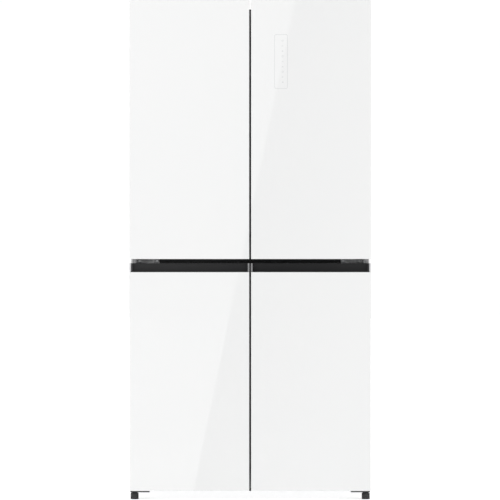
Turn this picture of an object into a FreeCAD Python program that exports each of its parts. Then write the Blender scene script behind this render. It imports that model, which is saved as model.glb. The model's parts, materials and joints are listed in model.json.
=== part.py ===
import FreeCAD, Part
import os

import Sketcher

# Four-door refrigerator with white glass doors: two tall doors over the refrigerator
# compartment and two lower doors over two freezer compartments.
# Frame: origin under the middle of the object on the floor, +X to the right seen from the
# front, the doors face -Y, +Z up. Millimetres.

doc = FreeCAD.newDocument("refrigerator")
sheet = doc.addObject("Spreadsheet::Sheet", "Spec")


# ---------------------------------------------------------------- sizes and formulas

class Size:
    """A length that keeps its value together with the sheet formula it comes from."""

    def __init__(self, value, formula):
        self.value = float(value)
        self.formula = formula

    def __add__(self, other):
        other = as_size(other)
        return Size(self.value + other.value, f"({self.formula} + {other.formula})")

    def __sub__(self, other):
        other = as_size(other)
        return Size(self.value - other.value, f"({self.formula} - {other.formula})")

    def __mul__(self, other):
        other = as_size(other)
        return Size(self.value * other.value, f"({self.formula} * {other.formula})")

    def __truediv__(self, other):
        other = as_size(other)
        return Size(self.value / other.value, f"({self.formula} / {other.formula})")

    def __neg__(self):
        return Size(-self.value, f"(0 - {self.formula})")

    def __radd__(self, other):
        return as_size(other) + self

    def __rsub__(self, other):
        return as_size(other) - self

    def __rmul__(self, other):
        return as_size(other) * self


def as_size(number):
    if isinstance(number, Size):
        return number
    return Size(number, f"({number})")


def driving(alias, value):
    """Write one driving dimension into the next row of the sheet."""
    driving.row += 1
    sheet.set(f"A{driving.row}", alias)
    sheet.set(f"B{driving.row}", str(value))
    sheet.setAlias(f"B{driving.row}", alias)
    return Size(value, f"Spec.{alias}")


driving.row = 0

# whole object
overall_width = driving("overall_width", 883)
overall_height = driving("overall_height", 1830)
overall_depth = driving("overall_depth", 700)
side_setback = driving("side_setback", 4)
top_setback = driving("top_setback", 35)
rear_standoff = driving("rear_standoff", 10)
base_height = driving("base_height", 38)

# doors
door_gap = driving("door_gap", 5.7)
middle_gap = driving("middle_gap", 15)
lower_door_bottom = driving("lower_door_bottom", 33)
lower_door_top = driving("lower_door_top", 867)
door_thickness = driving("door_thickness", 62)
glass_thickness = driving("glass_thickness", 4)
glass_chamfer = driving("glass_chamfer", 0.8)
edge_reveal = driving("edge_reveal", 0.6)
hinge_side_offset = driving("hinge_side_offset", 20)
hinge_front_offset = driving("hinge_front_offset", 35)
pin_radius = driving("pin_radius", 5)
pin_play = driving("pin_play", 0.08)
pin_depth = driving("pin_depth", 18)
running_gap = driving("running_gap", 1)
grip_height = driving("grip_height", 33)
grip_depth = driving("grip_depth", 20)
grip_drop = driving("grip_drop", 22)
grip_wall = driving("grip_wall", 2)
grip_lip = driving("grip_lip", 3)
grip_cheek = driving("grip_cheek", 5)
control_width = driving("control_width", 48)
control_height = driving("control_height", 198)
control_inset = driving("control_inset", 86)
control_drop = driving("control_drop", 126)
control_depth = driving("control_depth", 9)

# seals and walls
seal_gap = driving("seal_gap", 10)
seal_width = driving("seal_width", 15)
seal_clearance = driving("seal_clearance", 0.3)
seal_inset = driving("seal_inset", 18)
centre_seal_inset = driving("centre_seal_inset", 15)
middle_seal_gap = driving("middle_seal_gap", 28)
steel = driving("steel", 0.8)
plate = driving("plate", 1.2)
liner = driving("liner", 2)
flange_width = driving("flange_width", 34)
side_wall = driving("side_wall", 55)
top_wall = driving("top_wall", 60)
rear_wall = driving("rear_wall", 55)
floor_wall = driving("floor_wall", 60)
crossbar_height = driving("crossbar_height", 66)
post_width = driving("post_width", 84)
liner_radius = driving("liner_radius", 16)

# machine room and cold system
machine_room_depth = driving("machine_room_depth", 200)
machine_room_height = driving("machine_room_height", 232)
step_wall = driving("step_wall", 50)
duct_gap = driving("duct_gap", 78)
duct_panel = driving("duct_panel", 3)
fan_radius = driving("fan_radius", 50)
fan_clearance = driving("fan_clearance", 4)
fan_thickness = driving("fan_thickness", 18)
motor_depth = driving("motor_depth", 16)
compressor_radius = driving("compressor_radius", 82)
compressor_height = driving("compressor_height", 175)

# feet, rollers, bottom hinges
foot_radius = driving("foot_radius", 15)
foot_height = driving("foot_height", 25.5)
stem_radius = driving("stem_radius", 4)
roller_radius = driving("roller_radius", 15)
roller_width = driving("roller_width", 14)
hinge_plate = driving("hinge_plate", 4)
hinge_length = driving("hinge_length", 73)
middle_hinge_length = driving("middle_hinge_length", 98)

# inside
shelf_glass = driving("shelf_glass", 4)
shelf_gap = driving("shelf_gap", 4)
air_duct_depth = driving("air_duct_depth", 22)
crisper_height = driving("crisper_height", 222)
crisper_recess = driving("crisper_recess", 32)
shelf_trim = driving("shelf_trim", 14)
drawer_wall = driving("drawer_wall", 2.5)
drawer_play = driving("drawer_play", 4)
drawer_setback = driving("drawer_setback", 48)
bin_depth = driving("bin_depth", 88)
bin_height = driving("bin_height", 105)
upper_dyke_depth = driving("upper_dyke_depth", 48)
lower_dyke_depth = driving("lower_dyke_depth", 12)
dyke_clearance = driving("dyke_clearance", 8)
dyke_width = driving("dyke_width", 22)
mullion_width = driving("mullion_width", 70)
mullion_thickness = driving("mullion_thickness", 20)
mullion_corner = driving("mullion_corner", 8)
nub_reach = driving("nub_reach", 38)

# planes and places that several pieces share
half_width = overall_width / 2
case_half = half_width - side_setback
case_inner = case_half - steel
door_front = -overall_depth / 2
glass_back = door_front + glass_thickness
door_back = door_front + door_thickness
slab_back = door_back - liner
case_front = door_back + seal_gap
case_back = overall_depth / 2 - rear_standoff
case_top = overall_height - top_setback
upper_door_bottom = lower_door_top + middle_gap
split_middle = lower_door_top + middle_gap / 2
door_inner = door_gap / 2
hinge_x = half_width - hinge_side_offset
hinge_y = door_front + hinge_front_offset
flange_inner = case_half - flange_width

cavity_half = case_half - side_wall
cavity_top = case_top - top_wall
cavity_back = case_back - rear_wall
fridge_bottom = split_middle + crossbar_height / 2
freezer_top = split_middle - crossbar_height / 2
freezer_bottom = base_height + floor_wall
post_half = post_width / 2
room_front = case_back - machine_room_depth
room_top = base_height + machine_room_height
step_y = room_front - step_wall
step_z = room_top + step_wall
duct_front = cavity_back - duct_gap - duct_panel

upper_seal_bottom = split_middle + middle_seal_gap / 2
upper_seal_top = case_top - seal_inset
lower_seal_top = split_middle - middle_seal_gap / 2
lower_seal_bottom = base_height + seal_inset
seal_outer = case_half - seal_inset
seal_inner = door_inner + centre_seal_inset

LEFT = -1
RIGHT = 1
SIDES = (("left", LEFT), ("right", RIGHT))
doc.recompute()


# ---------------------------------------------------------------- shape helpers

def larger(one, other):
    """The larger of two lengths."""
    return Size(max(one.value, other.value), f"max({one.formula}; {other.formula})")


def ordered(ends):
    """The two ends of a span, lower value first."""
    first, second = as_size(ends[0]), as_size(ends[1])
    return (first, second) if first.value <= second.value else (second, first)


def block(x, y, z):
    """A box between two ends along each axis."""
    box = doc.addObject("Part::Box", "block")
    for axis, side, ends in (("x", "Length", x), ("y", "Width", y), ("z", "Height", z)):
        low, high = ordered(ends)
        box.setExpression(side, (high - low).formula)
        box.setExpression(f"Placement.Base.{axis}", low.formula)
    return box


TURN_TO_AXIS = {
    "x": FreeCAD.Rotation(FreeCAD.Vector(0, 1, 0), 90),
    "y": FreeCAD.Rotation(FreeCAD.Vector(1, 0, 0), -90),
    "z": FreeCAD.Rotation(),
}


def place(thing, x, y, z):
    for axis, size in (("x", x), ("y", y), ("z", z)):
        thing.setExpression(f"Placement.Base.{axis}", as_size(size).formula)
    return thing


def rod(axis, radius, centre, ends):
    """A cylinder along an axis; centre gives its place on the other two axes."""
    cylinder = doc.addObject("Part::Cylinder", "rod")
    cylinder.Placement = FreeCAD.Placement(FreeCAD.Vector(), TURN_TO_AXIS[axis])
    low, high = ordered(ends)
    cylinder.setExpression("Radius", as_size(radius).formula)
    cylinder.setExpression("Height", (high - low).formula)
    spot = list(centre)
    spot.insert("xyz".index(axis), low)
    return place(cylinder, *spot)


def fuse(*pieces):
    joined = doc.addObject("Part::MultiFuse", "fuse")
    joined.Shapes = list(pieces)
    joined.Refine = True
    return joined


def cut(base, *tools):
    difference = doc.addObject("Part::Cut", "cut")
    difference.Base = base
    difference.Tool = tools[0] if len(tools) == 1 else fuse(*tools)
    difference.Refine = True
    return difference


def group(*pieces):
    """Several separate solids of one kind in one node."""
    compound = doc.addObject("Part::Compound", "group")
    compound.Links = list(pieces)
    return compound


def origin_plane(body, role):
    return next(f for f in body.Origin.OriginFeatures if f.Role == role)


def outline_sketch(body, role, points, offset):
    """A closed outline of straight lines on one of the body's own origin planes."""
    sketch = body.newObject("Sketcher::SketchObject", "outline")
    sketch.AttachmentSupport = [(origin_plane(body, role), "")]
    sketch.MapMode = "FlatFace"
    sketch.setExpression(".AttachmentOffset.Base.z", as_size(offset).formula)
    corners = [(as_size(u), as_size(v)) for u, v in points]
    count = len(corners)
    for i, (u, v) in enumerate(corners):
        next_u, next_v = corners[(i + 1) % count]
        start = FreeCAD.Vector(u.value, v.value, 0)
        end = FreeCAD.Vector(next_u.value, next_v.value, 0)
        sketch.addGeometry(Part.LineSegment(start, end), False)
    for i in range(count):
        sketch.addConstraint(Sketcher.Constraint("Coincident", i, 2, (i + 1) % count, 1))
    for i, corner in enumerate(corners):
        for kind, size in zip(("DistanceX", "DistanceY"), corner):
            index = sketch.addConstraint(Sketcher.Constraint(kind, -1, 1, i, 1, size.value))
            sketch.setExpression(f"Constraints[{index}]", size.formula)
    return sketch


def rectangle(u, v):
    return [(u[0], v[0]), (u[1], v[0]), (u[1], v[1]), (u[0], v[1])]


def pad(body, role, points, ends):
    """Pad an outline between two ends along the plane's axis."""
    low, high = ordered(ends)
    offset = -high if role == "XZ_Plane" else low
    feature = body.newObject("PartDesign::Pad", "pad")
    feature.Profile = outline_sketch(body, role, points, offset)
    feature.setExpression("Length", (high - low).formula)
    doc.recompute()
    return feature


def revolve(body, points):
    """Turn an outline of (radius, height) points round the body's Z axis."""
    feature = body.newObject("PartDesign::Revolution", "turned")
    sketch = outline_sketch(body, "XZ_Plane", points, 0)
    feature.Profile = sketch
    feature.ReferenceAxis = (sketch, ["V_Axis"])
    feature.Angle = 360
    doc.recompute()
    return feature


def soften(body, kind, size, chosen):
    """Fillet or chamfer the edges of the body's last feature that a test picks."""
    base = body.Tip
    names = [f"Edge{i}" for i, edge in enumerate(base.Shape.Edges, 1) if chosen(edge)]
    if not names:
        raise RuntimeError(f"{body.Label}: no edge to soften")
    feature = body.newObject(f"PartDesign::{kind}", kind.lower())
    feature.Base = (base, names)
    feature.setExpression("Radius" if kind == "Fillet" else "Size", as_size(size).formula)
    doc.recompute()
    return feature


def new_body():
    return doc.addObject("PartDesign::Body", "body")


def along(axis):
    """A test for straight edges that run along an axis."""
    def chosen(edge):
        if not isinstance(edge.Curve, Part.Line):
            return False
        return abs(getattr(edge.Curve.Direction, axis)) > 0.999
    return chosen


def at_level(axis, size):
    """A test for edges that lie in one plane across an axis."""
    level = as_size(size).value

    def chosen(edge):
        return all(abs(getattr(v.Point, axis) - level) < 0.001 for v in edge.Vertexes)
    return chosen


nodes = {}


def node(label, thing):
    """Name a finished sub-part; its label is also its file name."""
    thing.Label = label
    nodes[label] = thing
    return thing


# ---------------------------------------------------------------- cabinet

def outer_case():
    """Painted steel wrap of two sides and top, its front edge turned in as a flange."""
    body = new_body()

    def wrap(inner):
        lower = as_size(base_height)
        top_inner = case_top - (case_half - inner)
        return [(-case_half, lower), (-inner, lower), (-inner, top_inner),
                (inner, top_inner), (inner, lower), (case_half, lower),
                (case_half, case_top), (-case_half, case_top)]

    pad(body, "XZ_Plane", wrap(case_inner), (case_front, case_back))
    pad(body, "XZ_Plane", wrap(flange_inner), (case_front, case_front + steel))
    return node("outer_case", body)


def front_frame():
    """Steel front of the crossbar, the centre post and the bottom rail in one piece."""
    low = base_height + plate
    body = new_body()
    points = [(-flange_inner, low), (flange_inner, low), (flange_inner, freezer_bottom),
              (post_half, freezer_bottom), (post_half, freezer_top),
              (flange_inner, freezer_top), (flange_inner, fridge_bottom),
              (-flange_inner, fridge_bottom), (-flange_inner, freezer_top),
              (-post_half, freezer_top), (-post_half, freezer_bottom),
              (-flange_inner, freezer_bottom)]
    pad(body, "XZ_Plane", points, (case_front, case_front + steel))
    return node("front_frame", body)


bead_depth = 4
bead_width = 36
bead_spread = case_half * 0.55
bead_end = 90
bead_slope = 2.5


def back_panel():
    """Steel sheet that closes the foam at the back, with three stiffening beads."""
    body = new_body()
    x = (-case_inner, case_inner)
    z = (room_top, case_top - steel)
    pad(body, "XZ_Plane", rectangle(x, z), (case_back - steel, case_back))
    for share in (-1, 0, 1):
        middle = bead_spread * share
        spans = rectangle((middle - bead_width / 2, middle + bead_width / 2),
                          (room_top + bead_end, case_top - bead_end))
        pad(body, "XZ_Plane", spans, (case_back, case_back + bead_depth))
    soften(body, "Chamfer", bead_slope, at_level("y", case_back + bead_depth))
    return node("back_panel", body)


def base_panel():
    """Pressed base: flat under the freezer, stepped up over the machine room."""
    body = new_body()
    front = case_front + steel
    back = case_back - steel
    points = [(front, base_height), (room_front, base_height),
              (room_front, room_top - plate), (back, room_top - plate), (back, room_top),
              (room_front - plate, room_top), (room_front - plate, base_height + plate),
              (front, base_height + plate)]
    pad(body, "YZ_Plane", points, (-case_inner, case_inner))
    return node("base_panel", body)


axle_radius = 3
bracket_wall = 2
bracket_gap = roller_width / 2 + 1.5
axle_half = bracket_gap + bracket_wall + 1
roller_y = room_front + machine_room_depth * 0.8
roller_x = case_inner - axle_half - 0.7
ear_half = 16
deck_thickness = 2
deck_play = 2


def compressor_plate():
    """Cross plate under the machine room with the folded ears that hold the rollers."""
    deck = block((-case_inner, case_inner),
                 (room_front + deck_play, case_back - plate - deck_play),
                 (base_height, base_height + deck_thickness))
    pieces = [deck]
    for _, side in SIDES:
        middle = roller_x * side
        for cheek in (-1, 1):
            near = middle + bracket_gap * cheek
            ear = block((near, near + bracket_wall * cheek),
                        (roller_y - ear_half, roller_y + ear_half),
                        (roller_radius - ear_half / 2, base_height))
            pieces.append(ear)
        pieces.append(rod("x", axle_radius, (roller_y, roller_radius),
                          (middle - axle_half, middle + axle_half)))
    return node("compressor_plate", fuse(*pieces))


def rollers():
    """Rear rollers on the axles of the compressor plate."""
    for name, side in SIDES:
        middle = roller_x * side
        wheel = rod("x", roller_radius, (roller_y, roller_radius),
                    (middle - roller_width / 2, middle + roller_width / 2))
        bore = rod("x", axle_radius + pin_play, (roller_y, roller_radius),
                   (middle - roller_width, middle + roller_width))
        node(f"roller_{name}", cut(wheel, bore))


well_front = case_front + steel
open_front = case_front - 10


def fridge_envelope(wall, front):
    """The refrigerator cavity grown by a wall, as a block rounded along its depth."""
    body = new_body()
    half = cavity_half + wall
    pad(body, "XZ_Plane",
        rectangle((-half, half), (fridge_bottom - wall, cavity_top + wall)),
        (front, cavity_back + wall))
    soften(body, "Fillet", liner_radius + wall, along("y"))
    return body


def freezer_envelope(side, wall, front):
    """One freezer cavity grown by a wall, its floor stepped up over the machine room."""
    body = new_body()
    low = freezer_bottom - wall
    back = cavity_back + wall
    points = [(front, low), (step_y + wall, low), (step_y + wall, step_z - wall),
              (back, step_z - wall), (back, freezer_top + wall),
              (front, freezer_top + wall)]
    pad(body, "YZ_Plane", points,
        ((post_half - wall) * side, (cavity_half + wall) * side))
    return body


shelf_space = (cavity_top - fridge_bottom - crisper_height) / 3
shelf_levels = [fridge_bottom + crisper_height + shelf_space * i for i in range(3)]
mullion_knuckle = 12
mullion_axis_x = -(mullion_width / 2 - mullion_corner)
mullion_axis_y = case_front + seal_clearance + mullion_knuckle
mullion_back = mullion_axis_y - mullion_corner + mullion_width
shelf_front = larger(door_back + bin_depth, mullion_back) + shelf_gap + shelf_trim
shelf_back = cavity_back - air_duct_depth - shelf_trim - 2
shelf_ledge = 12
ledge_thickness = 8
ledge_end = 4


def fridge_liner():
    """Refrigerator liner with its front flange and the ledges that carry the shelves."""
    flange = cut(
        block((-flange_inner, flange_inner), (case_front, case_front + liner),
              (fridge_bottom, case_top - flange_width)),
        block((-flange_inner, flange_inner), (case_front - 1, case_front + steel),
              (fridge_bottom - 1, fridge_bottom)))
    shell = cut(fuse(fridge_envelope(liner, well_front), flange),
                fridge_envelope(0, open_front))
    ledges = []
    for level in shelf_levels:
        for _, side in SIDES:
            ledges.append(block((cavity_half * side, (cavity_half - shelf_ledge) * side),
                                (shelf_front + ledge_end, shelf_back - ledge_end),
                                (level - ledge_thickness, level)))
    return node("fridge_liner", fuse(shell, *ledges))


drawer_ledge = 16
drawer_ledge_thickness = 6


def drawer_floors():
    """Undersides of the three freezer drawers on each side, lowest first."""
    low = freezer_bottom + 4
    middle = step_z + 12
    high = middle + (freezer_top - middle) / 2
    return [low, middle, high]


def freezer_liners():
    """Two freezer liners with outer side flanges and ledges under the drawers."""
    liners = []
    for _, side in SIDES:
        flange = block((cavity_half * side, flange_inner * side),
                       (case_front, case_front + liner), (freezer_bottom, freezer_top))
        shell = cut(fuse(freezer_envelope(side, liner, well_front), flange),
                    freezer_envelope(side, 0, open_front))
        ledges = []
        for floor in drawer_floors()[1:]:
            for wall, inward in ((post_half, 1), (cavity_half, -1)):
                ledge = (wall * side, (wall + drawer_ledge * inward) * side)
                under = floor - running_gap
                ledges.append(block(ledge, (case_front + drawer_setback + 8, duct_front - 12),
                                    (under - drawer_ledge_thickness, under)))
        liners.append(fuse(shell, *ledges))
    return node("freezer_liners", group(*liners))


def insulation_foam():
    """Foam between the outer case and the liners, stepped over the machine room."""
    mass = block((-case_inner, case_inner), (case_front + liner, case_back - steel),
                 (base_height + plate, case_top - steel))
    room = block((-case_half, case_half), (room_front - plate, case_back + 1),
                 (base_height - 1, room_top))
    wells = [fridge_envelope(liner, well_front)]
    for _, side in SIDES:
        wells.append(freezer_envelope(side, liner, well_front))
    return node("insulation_foam", cut(mass, room, *wells))


# ---------------------------------------------------------------- hinges and feet

arm_half = 12
eye_radius = 13
pin_tip = 2
top_plate_low = case_top
top_plate_high = case_top + hinge_plate
top_foot_front = case_front + 24
top_foot_back = case_front + 98
top_foot_width = 50
cover_height = 22
cover_skin = 3
cover_play = 0.3
cover_side = 1.2
cover_corner = 5
cover_round = 4
cap_front = case_front + 8
cap_back = top_foot_back + 14


def hinge_screw_places(side):
    """Screws of the top hinge on the case top, as (x, y)."""
    near = (hinge_x - 4) * side
    far = (hinge_x - 34) * side
    middle = (top_foot_front + top_foot_back) / 2
    spread = 22
    return [(near, middle - spread), (far, middle), (near, middle + spread)]


def top_hinges():
    """Plates on the case top whose arms carry a pin down into each upper door."""
    plates = []
    for _, side in SIDES:
        middle = hinge_x * side
        arm = block((middle - arm_half, middle + arm_half), (hinge_y, top_foot_front + 6),
                    (top_plate_low, top_plate_high))
        eye = rod("z", eye_radius, (middle, hinge_y), (top_plate_low, top_plate_high))
        foot = block(((hinge_x + arm_half) * side, (hinge_x - top_foot_width) * side),
                     (top_foot_front, top_foot_back), (top_plate_low, top_plate_high))
        pin = rod("z", pin_radius, (middle, hinge_y),
                  (top_plate_low - pin_depth + pin_tip, top_plate_high + pin_tip))
        plates.append(fuse(arm, eye, foot, pin))
    return node("top_hinges", group(*plates))


def top_hinge_covers():
    """Moulded caps over the top hinge plates and their screws."""
    covers = []
    for _, side in SIDES:
        inner = ((hinge_x + arm_half + cover_play) * side,
                 (hinge_x - top_foot_width - 2) * side)
        x = (inner[0] + cover_side * side, inner[1] - 2 * side)
        body = new_body()
        pad(body, "XY_Plane", rectangle(x, (cap_front, cap_back)),
            (case_top, case_top + cover_height))
        soften(body, "Fillet", cover_corner, along("z"))
        soften(body, "Fillet", cover_round, at_level("z", case_top + cover_height))
        hollow = block(inner, (case_front - 10, cap_back - 2),
                       (case_top - 1, case_top + cover_height - cover_skin))
        covers.append(cut(body, hollow))
    return node("top_hinge_covers", group(*covers))


middle_hinge_outer = half_width - 9
middle_flange = 3
middle_flange_half = 10
middle_arm_width = 34
gusset_reach = 42
collar_radius = 8
middle_eye_radius = 11


def middle_hinges():
    """Brackets on the crossbar with a pin up and a pin down between the doors."""
    brackets = []
    plate_low = split_middle - hinge_plate / 2
    plate_high = split_middle + hinge_plate / 2
    outer = middle_hinge_outer
    for _, side in SIDES:
        middle = hinge_x * side
        near = (outer * side, (outer - middle_hinge_length) * side)
        front = case_front - middle_flange
        flange = block(near, (front, case_front),
                       (split_middle - middle_flange_half, split_middle + middle_flange_half))
        root = outer - middle_arm_width
        arm = block((outer * side, root * side), (hinge_y, front), (plate_low, plate_high))
        eye = rod("z", middle_eye_radius, (middle, hinge_y), (plate_low, plate_high))
        gusset = new_body()
        pad(gusset, "XY_Plane",
            [(root * side, front), (root * side, hinge_y + 6),
             ((root - gusset_reach) * side, front)], (plate_low, plate_high))
        pin = rod("z", pin_radius, (middle, hinge_y),
                  (lower_door_top - pin_depth + pin_tip,
                   upper_door_bottom + pin_depth - pin_tip))
        collar = rod("z", collar_radius, (middle, hinge_y),
                     (lower_door_top + running_gap, upper_door_bottom - running_gap))
        brackets.append(fuse(flange, arm, eye, gusset, pin, collar))
    return node("middle_hinges", group(*brackets))


foot_y = hinge_y + 23
foot_x = half_width - 17
bottom_plate_corner = 6
bottom_plate_back = case_front + 70
bottom_plate_high = lower_door_bottom - running_gap
bottom_plate_low = bottom_plate_high - hinge_plate


def bottom_hinges():
    """Plates under the base that carry the lower doors and hold the front feet."""
    plates = []
    for _, side in SIDES:
        middle = hinge_x * side
        body = new_body()
        pad(body, "XY_Plane",
            rectangle(((half_width - 2) * side, (half_width - hinge_length) * side),
                      (hinge_y - 14, bottom_plate_back)),
            (bottom_plate_low, bottom_plate_high))
        soften(body, "Fillet", bottom_plate_corner, along("z"))
        riser = block(((case_half - 2) * side, (half_width - hinge_length) * side),
                      (case_front + 2, bottom_plate_back), (bottom_plate_high, base_height))
        pin = rod("z", pin_radius, (middle, hinge_y),
                  (bottom_plate_low, lower_door_bottom + pin_depth - pin_tip))
        hole = rod("z", stem_radius + pin_play, (foot_x * side, foot_y),
                   (bottom_plate_low - 5, bottom_plate_high + 5))
        plates.append(cut(fuse(body, riser, pin), hole))
    return node("bottom_hinges", group(*plates))


foot_chamfer = 2
stem_play = 0.2


def feet():
    """Levelling feet: a ribbed hand wheel under a threaded stem."""
    neck_radius = stem_radius + 1.5
    neck_low = bottom_plate_low - 1
    neck_high = bottom_plate_low - 0.3
    stem_high = bottom_plate_high - stem_play
    for name, side in SIDES:
        body = new_body()
        revolve(body, [(0, 0), (foot_radius - foot_chamfer, 0), (foot_radius, foot_chamfer),
                       (foot_radius, foot_height - foot_chamfer),
                       (foot_radius - foot_chamfer, foot_height),
                       (neck_radius + foot_chamfer, foot_height), (neck_radius, neck_low),
                       (neck_radius, neck_high), (stem_radius, neck_high),
                       (stem_radius, stem_high), (0, stem_high)])
        place(body, foot_x * side, foot_y, 0)
        node(f"foot_{name}", body)


screw_head = 4
flange_bolt = (91, 0, 5)
flange_screw = (17, 5.1, 3)


def hinge_screws():
    """Hexagon-head screws of the top and middle hinges."""
    screws = []
    flange_front = case_front - middle_flange

    def screw(axis, centre, low, high, radius):
        ends = (low, high)
        head = doc.addObject("Part::Prism", "head")
        head.Polygon = 6
        head.Placement = FreeCAD.Placement(FreeCAD.Vector(), TURN_TO_AXIS[axis])
        head.setExpression("Circumradius", as_size(radius).formula)
        head.setExpression("Height", (ordered(ends)[1] - ordered(ends)[0]).formula)
        spot = list(centre)
        spot.insert("xyz".index(axis), ordered(ends)[0])
        place(head, *spot)
        screws.append(head)

    for _, side in SIDES:
        for x, y in hinge_screw_places(side):
            screw("z", (x, y), top_plate_high, top_plate_high + screw_head, 6)
        for inward, raised, radius in (flange_bolt, flange_screw):
            x = (middle_hinge_outer - inward) * side
            screw("y", (x, split_middle + raised), flange_front - screw_head, flange_front,
                  radius)
    return node("hinge_screws", group(*screws))


# ---------------------------------------------------------------- doors

def door_spans(side, low, high, inset):
    """Width and height of a door, drawn in on all four edges by an inset."""
    x = ((door_inner + inset) * side, (half_width - inset) * side)
    return x, (low + inset, high - inset)


def door_glass(name, side, low, high):
    """White back-painted glass front with ground edges."""
    x, z = door_spans(side, low, high, as_size(0))
    body = new_body()
    pad(body, "XZ_Plane", rectangle(x, z), (door_front, glass_back))
    soften(body, "Chamfer", glass_chamfer, at_level("y", door_front))
    return node(f"glass_{name}", body)


def pin_bore(side, low, high):
    return rod("z", pin_radius + pin_play, (hinge_x * side, hinge_y), (low, high))


control_x = (door_inner + control_inset, door_inner + control_inset + control_width)
control_z = (overall_height - control_drop - control_height,
             overall_height - control_drop)


notch_low = case_top - running_gap
upper_grip_height = 18
upper_grip_skin = 4


def hinge_notch(side):
    """Space in a door's top outer corner for the arm of the top hinge."""
    return block(((hinge_x - eye_radius - 3) * side, (half_width + 1) * side),
                 (glass_back + 2, door_back + 1), (notch_low, overall_height + 1))


def upper_door_slab(name, side):
    """Foamed slab: open corner for the top hinge, finger grip under the lower edge."""
    low, high = upper_door_bottom, overall_height
    x, z = door_spans(side, low, high, edge_reveal)
    body = block(x, (glass_back, slab_back), z)
    grip = block(((door_inner + 20) * side, (hinge_x - 50) * side),
                 (glass_back + upper_grip_skin, glass_back + upper_grip_skin + grip_depth),
                 (low - 1, low + upper_grip_height))
    cuts = [hinge_notch(side), grip,
            pin_bore(side, notch_low - pin_depth, notch_low + 1),
            pin_bore(side, low - 1, low + pin_depth)]
    if side == RIGHT:
        cuts.append(block(control_x, (glass_back - 1, glass_back + control_depth),
                          control_z))
    return node(f"slab_{name}", cut(body, *cuts))


def grip_span(side):
    return ((door_inner + grip_cheek) * side, (half_width - grip_cheek) * side)


grip_top = lower_door_top - grip_height
grip_floor = grip_top - grip_drop
grip_back = glass_back + grip_depth + grip_wall


def lower_door_slab(name, side):
    """Foamed slab, cut back along its top front edge for the grip profile."""
    low, high = lower_door_bottom, lower_door_top
    x, z = door_spans(side, low, high, edge_reveal)
    body = block(x, (glass_back, slab_back), z)
    recess = block(grip_span(side), (glass_back - 1, grip_back), (grip_floor, high + 1))
    return node(f"slab_{name}", cut(body, recess,
                                    pin_bore(side, low - 1, low + pin_depth),
                                    pin_bore(side, high - pin_depth, high + 1)))


def grip_profile(name, side):
    """Extruded J-shaped grip: front lip behind the glass, trough, back wall."""
    body = new_body()
    lip_top = grip_top + grip_lip
    inner_front = glass_back + grip_wall
    inner_back = grip_back - grip_wall
    top = lower_door_top - edge_reveal
    points = [(glass_back, lip_top), (glass_back, grip_floor), (grip_back, grip_floor),
              (grip_back, top), (inner_back, top), (inner_back, grip_floor + grip_wall),
              (inner_front, grip_floor + grip_wall), (inner_front, lip_top)]
    pad(body, "YZ_Plane", points, grip_span(side))
    return node(f"grip_{name}", body)


def seal_spans(side, low, high, inset):
    x = ((seal_inner + inset) * side, (seal_outer - inset) * side)
    return x, (low + inset, high - inset)


def door_gasket(name, side, low, high):
    """Magnetic gasket frame on the back of the door."""
    outer_x, outer_z = seal_spans(side, low, high, as_size(0))
    inner_x, inner_z = seal_spans(side, low, high, seal_width)
    depth = (door_back, case_front - seal_clearance)
    ring = cut(block(outer_x, depth, outer_z),
               block(inner_x, (door_back - 1, case_front + 1), inner_z))
    return node(f"gasket_{name}", ring)


upper_dyke_inner = mullion_width / 2 + 10
lower_dyke_inner = post_half + 3
dyke_outer = cavity_half - 7.5


def door_liner(name, side, low, high, cavity, dyke_inner, depth):
    """Thermoformed inner liner with a raised frame that enters the cavity."""
    x, z = door_spans(side, low, high, edge_reveal)
    sheet_part = block(x, (slab_back, door_back), z)
    frame_z = (cavity[0] + dyke_clearance, cavity[1] - dyke_clearance)
    frame = cut(
        block((dyke_inner * side, dyke_outer * side), (door_back, door_back + depth),
              frame_z),
        block(((dyke_inner + dyke_width) * side, (dyke_outer - dyke_width) * side),
              (door_back, door_back + depth + 1),
              (frame_z[0] + dyke_width, frame_z[1] - dyke_width)))
    pieces = [sheet_part, frame]
    if name == "upper_left":
        pieces += mullion_lugs()
    whole = fuse(*pieces)
    if name.startswith("upper"):
        whole = cut(whole, hinge_notch(side))
    return node(f"liner_{name}", whole)


lowest_bin = fridge_bottom + 50
bin_levels = [lowest_bin + (cavity_top - lowest_bin) / 3 * i for i in range(3)]
bin_corner = 12


def door_bins(name, side):
    """Three moulded bins that hang between the raised sides of the liner."""
    near = (upper_dyke_inner + dyke_width) * side
    far = (dyke_outer - dyke_width) * side
    wall = as_size(drawer_wall)
    bins = []
    for level in bin_levels:
        body = new_body()
        y = (door_back, door_back + bin_depth)
        pad(body, "XY_Plane", rectangle((near, far), y), (level, level + bin_height))
        soften(body, "Fillet", bin_corner, lambda edge: along("z")(edge)
               and at_level("y", door_back + bin_depth)(edge))
        hollow = block((near + wall * side, far - wall * side),
                       (door_back + drawer_wall, door_back + bin_depth - drawer_wall),
                       (level + drawer_wall, level + bin_height + 1))
        bins.append(cut(body, hollow))
    return node(f"bins_{name}", group(*bins))


def touch_control():
    """Touch board in its holder behind the glass of the upper right door."""
    body = new_body()
    pad(body, "XZ_Plane", rectangle(control_x, control_z),
        (glass_back, glass_back + control_depth - 1))
    soften(body, "Fillet", 6, along("y"))
    return node("touch_control", body)


# ---------------------------------------------------------------- flip mullion

mullion_low = fridge_bottom + 12
mullion_high = cavity_top - 24
mullion_pin = 3
mullion_pin_depth = 12
lug_thickness = 6
nub_radius = 3
nub_length = 14
guide_wall = 10
cam_play = 4


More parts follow.
